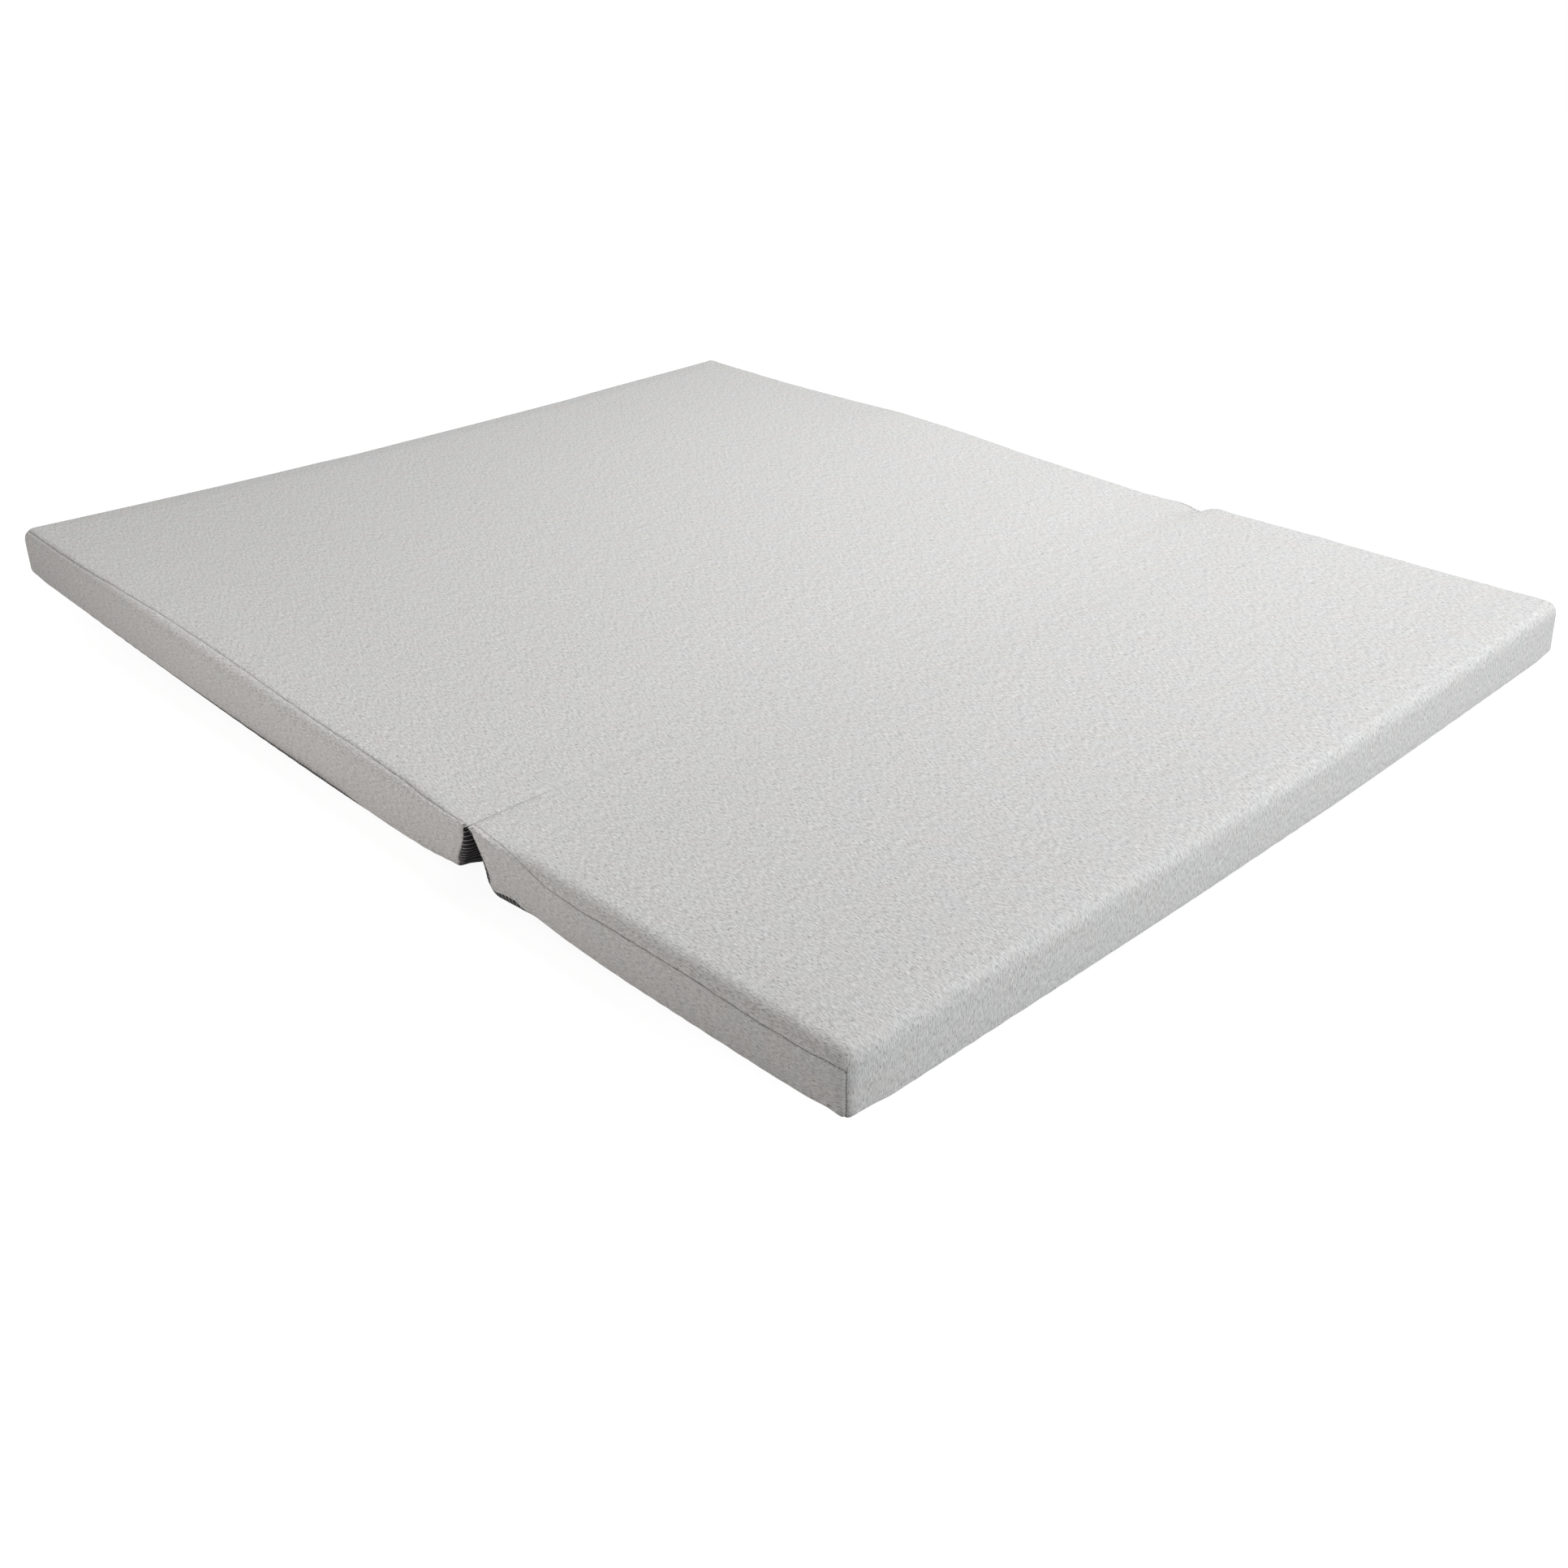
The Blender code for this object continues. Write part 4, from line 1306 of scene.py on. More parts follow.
class Shader(NodeTree):
    """Builds one node material."""

    def __init__(self, name: str) -> None:
        """Start an empty material."""
        self.material = bpy.data.materials.new(name)
        self.material.use_nodes = True
        super().__init__(self.material.node_tree)

    def cloth(self) -> bpy.types.NodeSocket:
        """Place on the flat cloth, in metres."""
        return self.add("UVMap", uv_map="cloth").outputs[0]

    def place(self) -> bpy.types.NodeSocket:
        """Place in the object's own axes, in metres."""
        return self.add("TexCoord").outputs["Object"]

    def noise(self, place: object, scale: float, detail: float = 2.0,
              rough: float = 0.5) -> bpy.types.NodeSocket:
        """Smooth noise from 0 to 1 at a place."""
        return self.add("TexNoise", {
            "Vector": place, "Scale": scale, "Detail": detail, "Roughness": rough,
        }).outputs[0]

    def scaled(self, place: object, scale: Triple, turn: float = 0.0) -> bpy.types.NodeSocket:
        """Place with each axis scaled, after a turn in its plane."""
        turned = self.add("Mapping", {"Vector": place, "Rotation": (0.0, 0.0, turn)})
        return self.add("Mapping", {"Vector": turned.outputs[0], "Scale": scale}).outputs[0]

    def streaks(self, place: object, scale: Triple, turn: float = 0.0, detail: float = 2.0,
                rough: float = 0.5) -> bpy.types.NodeSocket:
        """Noise drawn out along one axis."""
        return self.noise(self.scaled(place, scale, turn), 1.0, detail, rough)

    def between(self, value: object, low: float, high: float, start: float = 0.0,
                stop: float = 1.0) -> bpy.types.NodeSocket:
        """Value mapped from low..high to start..stop, and kept there."""
        return self.add("MapRange", {
            "Value": value, "From Min": low, "From Max": high, "To Min": start, "To Max": stop,
        }, interpolation_type="SMOOTHSTEP").outputs[0]

    def weigh(self, one: object, one_share: float, two: object, two_share: float
              ) -> bpy.types.NodeSocket:
        """Sum of two values, each times its share."""
        first = self.math("MULTIPLY", one, one_share)
        return self.math("ADD", first, self.math("MULTIPLY", two, two_share))

    def blend(self, share: object, one: object, two: object,
              kind: str = "MIX") -> bpy.types.NodeSocket:
        """Mix of two colours."""
        one, two = ((*part, 1.0) if isinstance(part, tuple) else part for part in (one, two))
        node = self.add("Mix", {0: share, 6: one, 7: two}, data_type="RGBA", blend_type=kind)
        return node.outputs[2]

    def tones(self, share: object, colour: Colour, low: float, high: float
              ) -> bpy.types.NodeSocket:
        """Colour from low to high times as pale."""
        dark, pale = (tuple(min(1.0, part * times) for part in colour) for times in (low, high))
        return self.blend(share, dark, pale)

    def bump(self, height: object, strength: float, distance: float) -> bpy.types.NodeSocket:
        """Normal of a bumped surface."""
        return self.add("Bump", {
            "Height": height, "Strength": strength, "Distance": distance,
        }).outputs[0]

    def close(self, surface: bpy.types.NodeSocket) -> bpy.types.Material:
        """The material, with its surface joined up."""
        self.add("OutputMaterial", {"Surface": surface})
        return self.material

    def finish(self, **inputs: object) -> bpy.types.Material:
        """Close with one Principled shader, whose inputs have underscores for spaces."""
        named = {key.replace("_", " "): value for key, value in inputs.items()}
        return self.close(self.add("BsdfPrincipled", named).outputs[0])


@dataclass(frozen=True)
class HeatherCloth:
    """Light grey cloth with fine slubs along its yarns."""

    light: Colour = (0.81, 0.81, 0.807)
    dark: Colour = (0.44, 0.437, 0.433)
    fleck: Colour = (0.15, 0.145, 0.14)
    warm: Colour = (1.012, 0.997, 0.992)
    cool: Colour = (0.991, 1.0, 1.0)
    yarn: float = 0.0009
    slub_length: float = 0.0102
    slub_width: float = 0.00125
    slub_turn: float = 0.07
    slub_spread: float = 0.15
    slub_shares: tuple[float, float] = (0.55, 0.45)
    cross_finer: tuple[float, float] = (1.6, 1.3)
    speck_length: float = 0.0055
    speck_width: float = 0.0012
    speck_least: float = 0.56
    speck_full: float = 0.70
    speck_share: float = 0.74
    tint_size: float = 0.035
    seam_break: float = 0.0034
    roughness: float = 0.95

    def yarns(self, shader: "Shader", way: str, pitch: float, bend: float) -> bpy.types.NodeSocket:
        """Ridges of the yarns that lie across one way of the cloth."""
        return shader.add("TexWave", {
            "Vector": shader.cloth(), "Scale": pitch / self.yarn / math.pi, "Distortion": bend,
            "Detail": 1.0,
        }, bands_direction=way).outputs[1]

    def material(self) -> bpy.types.Material:
        """Build the material."""
        shader = Shader("grey_heather_cloth")
        uv = shader.cloth()
        long, wide = 1.0 / self.slub_length, 1.0 / self.slub_width
        slub = shader.streaks(uv, (long, wide, 1.0), 0.0, 4.0, 0.7)
        size = (self.cross_finer[0] * long, self.cross_finer[1] * wide, 1.0)
        cross = shader.streaks(uv, size, self.slub_turn, 2.0, 0.6)
        both = shader.weigh(slub, self.slub_shares[0], cross, self.slub_shares[1])
        share = shader.between(both, 0.5 - self.slub_spread, 0.5 + self.slub_spread)
        colour = shader.blend(share, self.dark, self.light)
        size = (1.0 / self.speck_length, 1.0 / self.speck_width, 1.0)
        speck = shader.streaks(uv, size, -self.slub_turn, 2.0, 0.55)
        speck = shader.between(speck, self.speck_least, self.speck_full, 0.0, self.speck_share)
        colour = shader.blend(speck, colour, self.fleck)
        patch = shader.between(shader.noise(uv, 1.0 / self.tint_size), 0.35, 0.65)
        colour = shader.blend(1.0, colour, shader.blend(patch, self.cool, self.warm), "MULTIPLY")
        # Painted shade: along the seams and the crease the cloth is painted darker, toward the
        # thread's colour, in broken dashes
        shade = shader.add("Attribute", attribute_name="seam_shade").outputs["Fac"]
        broken = shader.noise(uv, 1.0 / self.seam_break, 1.0)
        shade = shader.math("MULTIPLY", shade, shader.between(broken, 0.40, 0.60, 0.15, 0.65))
        colour = shader.blend(shade, colour, THREAD_AND_SEAM_SHADE_COLOUR)
        weave = shader.math(
            "MULTIPLY", self.yarns(shader, "Y", 0.5, 0.6), self.yarns(shader, "X", 0.4, 0.4)
        )
        return shader.finish(
            Base_Color=colour, Roughness=self.roughness, Sheen_Weight=0.15,
            Sheen_Roughness=0.6, Specular_IOR_Level=0.2,
            Normal=shader.bump(shader.math("ADD", weave, both), 0.22, 0.0004),
        )


@dataclass(frozen=True)
class PinstripeCloth:
    """Black lining with fine pale stripes across the pad."""

    ground: Colour = (0.011, 0.0105, 0.0105)
    thread: Colour = (0.38, 0.37, 0.38)
    pitch: float = 0.0067
    stripe: float = 0.0013
    wobble: float = 0.0006
    wobble_scale: float = 60.0
    break_scale: Triple = (900.0, 260.0, 1.0)
    fibre_scale: Triple = (1400.0, 500.0, 1.0)
    roughness: float = 0.85

    def material(self) -> bpy.types.Material:
        """Build the material."""
        shader = Shader("black_pinstripe_cloth")
        uv = shader.cloth()
        u = shader.add("SeparateXYZ", {0: uv}).outputs[0]
        wobble = shader.math("SUBTRACT", shader.noise(uv, self.wobble_scale), 0.5)
        wobble = shader.math("MULTIPLY", wobble, self.wobble)
        phase = shader.math("DIVIDE", shader.math("ADD", u, wobble), self.pitch)
        off = shader.math("ABSOLUTE", shader.math("SUBTRACT", shader.math("FRACT", phase), 0.5))
        width = self.stripe / self.pitch
        broken = shader.streaks(uv, self.break_scale)
        broken = shader.between(broken, 0.25, 0.55, 0.45, 1.0)
        line = shader.math("MULTIPLY", shader.between(off, 0.5 - width, 0.5 - 0.3 * width), broken)
        rib = shader.between(off, 0.0, 0.12, 0.35, 0.0)
        colour = shader.blend(shader.math("MAXIMUM", line, rib), self.ground, self.thread)
        fibre = shader.streaks(uv, self.fibre_scale)
        return shader.finish(
            Base_Color=colour, Roughness=self.roughness, Specular_IOR_Level=0.08,
            Normal=shader.bump(shader.weigh(fibre, 0.4, off, 1.0), 0.5, 0.0006),
        )


@dataclass(frozen=True)
class OpenFoam:
    """Cream foam with open cells."""

    colour: Colour = (0.80, 0.76, 0.60)
    cell: float = 0.0012
    patch: float = 1.0 / 30.0

    def material(self) -> bpy.types.Material:
        """Build the material."""
        shader = Shader("cream_foam")
        place = shader.place()
        cells = shader.add("TexVoronoi", {"Vector": place, "Scale": 1.0 / self.cell}).outputs[0]
        patch = shader.between(shader.noise(place, 1.0 / self.patch, 3.0), 0.3, 0.7)
        return shader.finish(
            Base_Color=shader.tones(patch, self.colour, 1.0, 1.08), Roughness=1.0,
            Normal=shader.bump(cells, 0.6, 0.0006),
        )


@dataclass(frozen=True)
class WovenTape:
    """Grey herringbone tape of a zip."""

    colour: Colour = (0.42, 0.41, 0.40)
    rib: float = 0.0012
    slant: float = 0.6
    fibre_scale: Triple = (900.0, 2200.0, 1.0)

    def material(self) -> bpy.types.Material:
        """Build the material."""
        shader = Shader("grey_woven_tape")
        uv = shader.cloth()
        slanted = shader.scaled(uv, (1.0, 1.0, 1.0), self.slant)
        ribs = shader.add("TexWave", {"Vector": slanted, "Scale": 0.3 / self.rib}).outputs[1]
        fibre = shader.streaks(uv, self.fibre_scale)
        share = shader.weigh(ribs, 0.4, fibre, 0.5)
        return shader.finish(
            Base_Color=shader.tones(share, self.colour, 0.78, 1.18), Roughness=0.9,
            Sheen_Weight=0.1, Normal=shader.bump(share, 0.4, 0.0003),
        )


@dataclass(frozen=True)
class CoilPlastic:
    """Grey nylon of the zip's coils."""

    colour: Colour = (0.50, 0.49, 0.48)
    patch_scale: float = 160.0

    def material(self) -> bpy.types.Material:
        """Build the material."""
        shader = Shader("grey_nylon_coil")
        patch = shader.noise(shader.place(), self.patch_scale)
        colour = shader.tones(shader.between(patch, 0.3, 0.7), self.colour, 0.88, 1.08)
        rough = shader.between(patch, 0.2, 0.8, 0.38, 0.52)
        return shader.finish(Base_Color=colour, Roughness=rough, Coat_Weight=0.1)


@dataclass(frozen=True)
class SatinMetal:
    """Satin gunmetal of the sliders, pulls and stops."""

    colour: Colour = (0.42, 0.42, 0.43)
    brush_scale: Triple = (300.0, 3000.0, 3000.0)
    patch_scale: float = 220.0

    def material(self) -> bpy.types.Material:
        """Build the material."""
        shader = Shader("satin_gunmetal")
        place = shader.place()
        brush = shader.streaks(place, self.brush_scale)
        patch = shader.between(shader.noise(place, self.patch_scale, 3.0), 0.35, 0.65)
        return shader.finish(
            Base_Color=shader.tones(patch, self.colour, 0.85, 1.0), Metallic=1.0,
            Roughness=shader.between(brush, 0.2, 0.8, 0.26, 0.42),
            Normal=shader.bump(brush, 0.15, 0.0001),
        )


@dataclass(frozen=True)
class SewingThread:
    """Dark grey sewing thread."""

    colour: Colour = THREAD_AND_SEAM_SHADE_COLOUR
    twist_scale: float = 2500.0

    def material(self) -> bpy.types.Material:
        """Build the material."""
        shader = Shader("grey_sewing_thread")
        twist = shader.noise(shader.place(), self.twist_scale, 1.0)
        colour = shader.tones(twist, self.colour, 0.7, 1.0)
        return shader.finish(Base_Color=colour, Roughness=0.8)


class Finishes:
    """All materials of the pad, one for each slot of the record, and the thread."""

    def __init__(self) -> None:
        """Build the materials."""
        self.by_slot = {
            Slot.GREY_CLOTH: HeatherCloth().material(),
            Slot.PINSTRIPE: PinstripeCloth().material(),
            Slot.FOAM: OpenFoam().material(),
            Slot.TAPE: WovenTape().material(),
            Slot.TEETH: CoilPlastic().material(),
            Slot.METAL: SatinMetal().material(),
        }
        self.thread = SewingThread().material()

    def dress(self, obj: bpy.types.Object, slot: Slot) -> None:
        """Give a piece the material of a slot."""
        obj.data.materials.clear()
        obj.data.materials.append(self.by_slot[slot])


class GeometryTree(NodeTree):
    """Builds one Geometry Nodes tree, and turns its result into a plain mesh."""

    prefix = "GeometryNode"

    def __init__(self, name: str, sizes: dict[str, float]) -> None:
        """Start a tree with a geometry input and named sizes.

        Args:
            name: Name of the tree.
            sizes: Each size's name and value.
        """
        super().__init__(bpy.data.node_groups.new(name, "GeometryNodeTree"))
        face = self.tree.interface
        face.new_socket("Geometry", in_out="INPUT", socket_type="NodeSocketGeometry")
        self.sockets = {}
        for key, value in sizes.items():
            kind = "NodeSocketInt" if isinstance(value, int) else "NodeSocketFloat"
            self.sockets[key] = face.new_socket(key, in_out="INPUT", socket_type=kind)
        face.new_socket("Geometry", in_out="OUTPUT", socket_type="NodeSocketGeometry")
        self.sizes = sizes
        self.source = self.tree.nodes.new("NodeGroupInput")
        self.target = self.tree.nodes.new("NodeGroupOutput")

    def size(self, key: str) -> bpy.types.NodeSocket:
        """Socket of a named size."""
        return self.source.outputs[key]

    def close(self, geometry: bpy.types.NodeSocket, material: bpy.types.Material) -> None:
        """End the tree in Realize Instances and Set Material."""
        real = self.add("RealizeInstances", {0: geometry})
        dressed = self.add("SetMaterial", {0: real.outputs[0], "Material": material})
        self.tree.links.new(dressed.outputs[0], self.target.inputs[0])

    def make(self, name: str, start: bpy.types.Mesh, place: Matrix | None = None
             ) -> bpy.types.Object:
        """Run the tree on a mesh, and keep the result as a plain mesh.

        Args:
            name: Name of the piece.
            start: The mesh that goes into the tree.
            place: Where the result goes, in the row frame.

        Returns:
            The piece, at the origin.
        """
        carrier = link(name + "_tree", start)
        modifier = carrier.modifiers.new("tree", "NODES")
        modifier.node_group = self.tree
        for key, value in self.sizes.items():
            modifier[self.sockets[key].identifier] = value
        graph = bpy.context.evaluated_depsgraph_get()
        mesh = bpy.data.meshes.new_from_object(carrier.evaluated_get(graph), depsgraph=graph)
        carrier.modifiers.clear()
        bpy.data.objects.remove(carrier, do_unlink=True)
        mesh.name = name
        if place is not None:
            mesh.transform(place)
        return link(name, mesh)


@dataclass
class SeamStitches:
    """Rows of thread in the seams of one body, laid by Geometry Nodes."""

    pitch: float = 0.0038
    stitch: float = 0.0027
    thread: float = 0.00032
    seed: int = 7
    least: float = 0.85
    most: float = 1.12

    def tree(self, material: bpy.types.Material) -> GeometryTree:
        """Tree that lays grains of thread along a path.

        Args:
            material: The thread's material.

        Returns:
            The tree.
        """
        tree = GeometryTree("seam_stitches", {
            "Pitch": self.pitch, "Stitch": self.stitch, "Thread": self.thread, "Seed": self.seed,
        })
        curve = tree.add("MeshToCurve", {0: tree.source.outputs[0]})
        points = tree.add("CurveToPoints", {
            "Curve": curve.outputs[0], "Length": tree.size("Pitch"),
        }, mode="LENGTH")
        grain = tree.add("MeshUVSphere", {"Segments": 5, "Rings": 4, "Radius": 1.0})
        half = tree.math("MULTIPLY", tree.size("Stitch"), 0.5)
        thick = tree.size("Thread")
        size = tree.add("ShaderNodeCombineXYZ", {0: thick, 1: thick, 2: half})
        drawn = tree.add("Transform", {0: grain.outputs[0], "Scale": size.outputs[0]})
        uneven = tree.add("FunctionNodeRandomValue", {
            2: self.least, 3: self.most, "Seed": tree.size("Seed"),
        }, data_type="FLOAT")
        laid = tree.add("InstanceOnPoints", {
            "Points": points.outputs[0], "Instance": drawn.outputs[0],
            "Rotation": points.outputs["Rotation"],
        })
        grown = tree.add("ScaleInstances", {0: laid.outputs[0], "Scale": uneven.outputs[1]})
        tree.close(grown.outputs[0], material)
        return tree

    def build(self, section: Section, paths: list[np.ndarray], material: bpy.types.Material
              ) -> bpy.types.Object:
        """Lay the stitches of one section.

        Args:
            section: The section that they ride on.
            paths: Each seam's points.
            material: The thread's material.

        Returns:
            The stitches.
        """
        name = f"{section.name}_seam_stitches"
        points, edges = [], []
        for path in paths:
            start = len(points)
            points.extend(path.tolist())
            edges.extend((start + i, start + i + 1) for i in range(len(path) - 1))
        mesh = bpy.data.meshes.new(name)
        mesh.from_pydata(points, edges, [])
        obj = self.tree(material).make(name, mesh)
        obj.data.shade_smooth()
        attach(obj, section.body.value)
        return obj


@dataclass
class Zip:
    """The zip in one section's far side: tapes, coils, stops, slider and pull."""

    section: Section
    slider_body: Body
    pull_body: Body
    tape_thickness: float = 0.0008
    tape_width: float = 0.014
    tape_tail: float = 0.008
    tape_step: float = 0.008
    tape_profile: Table = (
        (0.0, 0.4), (0.0003, 1.2), (0.0012, 1.3), (0.0022, 1.2), (0.004, 1.0), (0.008, 1.0),
        (0.012, 1.0), (0.0137, 1.0), (0.014, 0.4),
    )
    teeth_width: float = 0.0026
    teeth_height: float = 0.0022
    teeth_split: float = 0.0003
    stop_length: float = 0.003
    stop_clearance: float = 0.0005
    slider_length: float = 0.012
    wedge_low: float = 0.0012
    run_clearance: float = 0.0004
    pitch: float = 0.00125
    wire: float = 0.00027
    filler: float = 0.0006
    turn_points: int = 8
    wire_sides: int = 5
    filler_sides: int = 8
    bevel: float = 0.00022
    flat_angle: float = math.radians(3.0)
    bevel_angle: float = math.radians(35.0)
    sharp_angle: float = math.radians(40.0)

    def __post_init__(self) -> None:
        """Find the zip's own frame: X along it to the closed end, Y out of the pad."""
        ends = self.section.settle(rows_of(self.section.zip_span(), FAR_Y, ZIP_HEIGHT))
        start, stop = Vector(ends[0]), Vector(ends[1])
        along = (stop - start).normalized()
        out = Vector((0.0, 1.0, 0.0))
        turn = Matrix((along, out, along.cross(out))).transposed().to_4x4()
        centre = (start + stop) / 2.0 - out * (CLOTH + GAP + self.tape_thickness / 2.0)
        self.place = Matrix.Translation(centre) @ turn
        self.half = (stop - start).length / 2.0
        self.teeth_edge = self.teeth_split / 2.0 + self.teeth_width
        park = self.half - 2.0 * self.stop_clearance - self.stop_length - self.slider_length / 2.0
        self.teeth_high = park + self.wedge_low - self.run_clearance
        self.teeth_low = self.stop_clearance - self.half + self.stop_length + GAP

    def tape(self, side: float, node: str, finishes: Finishes) -> None:
        """One woven tape, thicker along the edge that carries the coil.

        Args:
            side: 1 for the upper tape, -1 for the lower.
            node: The solid that it stands for.
            finishes: The materials.
        """
        across, thick = np.array(self.tape_profile).T
        across = across + self.teeth_edge + GAP
        thick = thick * self.tape_thickness / 2.0
        end = self.half + self.tape_tail
        xs = np.linspace(-end, end, round(2.0 * end / self.tape_step) + 1)
        loop_z = side * np.concatenate((across, across[::-1]))
        loop_y = np.concatenate((thick, -thick[::-1]))
        points = np.vstack([rows_of(x, loop_y, loop_z) for x in xs])
        ring, last = len(loop_z), (len(xs) - 1) * len(loop_z)
        faces = [list(range(ring)), [last + k for k in reversed(range(ring))]]
        for start in range(0, last, ring):
            for k in range(ring):
                a, b = start + k, start + (k + 1) % ring
                faces.append([a, a + ring, b + ring, b])
        if side < 0.0:
            faces = [face[::-1] for face in faces]
        obj = Mesher.build(f"{node}_cloth", points, faces, points[:, [0, 2]].copy())
        obj.data.transform(self.place)
        finishes.dress(obj, Slot.TAPE)
        settle_piece(obj, self.section.body, node)

    def coil_tree(self, material: bpy.types.Material) -> GeometryTree:
        """Tree of one flattened coil round its filler cord.

        Args:
            material: The coil's material.

        Returns:
            The tree.
        """
        length = self.teeth_high - self.teeth_low
        tree = GeometryTree("zip_coil", {
            "Length": length, "Turns": length / self.pitch, "Height": self.teeth_height,
            "Width": self.teeth_width, "Wire": self.wire, "Filler": self.filler,
            "Points": self.turn_points,
        })
        spiral = tree.add("CurveSpiral", {
            "Resolution": tree.size("Points"), "Rotations": tree.size("Turns"),
            "Start Radius": 1.0, "End Radius": 1.0, "Height": tree.size("Length"),
        })
        thin = tree.math("MULTIPLY", tree.size("Wire"), 2.0)
        half_high, half_wide = (
            tree.math("MULTIPLY", tree.math("SUBTRACT", tree.size(key), thin), 0.5)
            for key in ("Height", "Width")
        )
        oval = tree.add("ShaderNodeCombineXYZ", {0: half_high, 1: half_wide, 2: 1.0})
        pressed = tree.add("Transform", {0: spiral.outputs[0], "Scale": oval.outputs[0]})
        top = tree.add("ShaderNodeCombineXYZ", {2: tree.size("Length")})
        line = tree.add("CurvePrimitiveLine", {"End": top.outputs[0]})
        both = tree.add("JoinGeometry")
        for path, sides, key in (
            (pressed, self.wire_sides, "Wire"), (line, self.filler_sides, "Filler"),
        ):
            ring = tree.add("CurvePrimitiveCircle", {"Resolution": sides, "Radius": tree.size(key)})
            tube = tree.add("CurveToMesh", {
                0: path.outputs[0], 1: ring.outputs[0], "Fill Caps": True,
            })
            tree.tree.links.new(tube.outputs[0], both.inputs[0])
        tree.close(both.outputs[0], material)
        return tree

    def coil(self, side: float, node: str, finishes: Finishes) -> None:
        """One row of teeth.

        Args:
            side: 1 for the upper row, -1 for the lower.
            node: The solid that it stands for.
            finishes: The materials.
        """
        tree = self.coil_tree(finishes.by_slot[Slot.TEETH])
        centre = side * (self.teeth_split + self.teeth_width) / 2.0
        half_pitch = self.pitch / 2.0 if side < 0.0 else 0.0
        shift = Matrix.Translation((self.teeth_low + half_pitch, 0.0, centre))
        lie = Matrix(((0.0, 0.0, 1.0), (1.0, 0.0, 0.0), (0.0, 1.0, 0.0))).to_4x4()
        name = f"{node}_coil"
        obj = tree.make(name, bpy.data.meshes.new(name), self.place @ shift @ lie)
        obj.data.shade_smooth()
        settle_piece(obj, self.section.body, node)

    def metal(self, node: str, body: Body, finishes: Finishes) -> None:
        """A metal piece with its edges broken, in place of its plain solid.

        Args:
            node: The solid's node.
            body: The body that it belongs to.
            finishes: The materials.
        """
        bm = bmesh.new()
        bm.from_mesh(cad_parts[node].data)
        bmesh.ops.remove_doubles(bm, verts=bm.verts, dist=SAME)
        bmesh.ops.dissolve_limit(bm, angle_limit=self.flat_angle, verts=bm.verts, edges=bm.edges)
        mesh = bpy.data.meshes.new(node + "_satin")
        bm.to_mesh(mesh)
        bm.free()
        obj = link(node + "_satin", mesh)
        modifier = obj.modifiers.new("broken_edges", "BEVEL")
        modifier.width = self.bevel
        modifier.segments = 2
        modifier.limit_method = "ANGLE"
        modifier.angle_limit = self.bevel_angle
        graph = bpy.context.evaluated_depsgraph_get()
        made = bpy.data.meshes.new_from_object(obj.evaluated_get(graph), depsgraph=graph)
        obj.modifiers.clear()
        obj.data = made
        made.shade_smooth()
        made.set_sharp_from_angle(angle=self.sharp_angle)
        finishes.dress(obj, Slot.METAL)
        settle_piece(obj, body, node)

    def build(self, finishes: Finishes) -> None:
        """Make and dress all of the zip.

        Args:
            finishes: The materials.
        """
        name, body = f"{self.section.name}_zip", self.section.body
        for word, side in (("upper", 1.0), ("lower", -1.0)):
            self.tape(side, f"{name}_{word}_tape", finishes)
            self.coil(side, f"{name}_{word}_teeth", finishes)
            self.metal(f"{name}_{word}_top_stop", body, finishes)
        self.metal(f"{name}_bottom_stop", body, finishes)
        self.metal(f"{name}_slider", self.slider_body, finishes)
        self.metal(f"{name}_pull", self.pull_body, finishes)
        LOG.info("%s: %.3f m long", name, 2.0 * self.half)


@dataclass(frozen=True)
class Lamp:
    """One soft disk lamp: where it hangs, what it aims at, its width and its watts."""

    name: str
    place: Triple
    aim: Triple
    size: float
    power: float
    colour: Colour = (1.0, 1.0, 1.0)

    def hang(self) -> None:
        """Put the lamp in the scene, unseen by the camera itself."""
        data = bpy.data.lights.new(self.name, "AREA")
        data.shape = "DISK"
        data.size = self.size
        data.energy = self.power
        data.color = self.colour
        obj = link(self.name, data)
        start, way = Vector(self.place), Vector(self.aim) - Vector(self.place)
        obj.matrix_world = Matrix.LocRotScale(start, way.to_track_quat("-Z", "Y"), None)
        obj.visible_camera = False


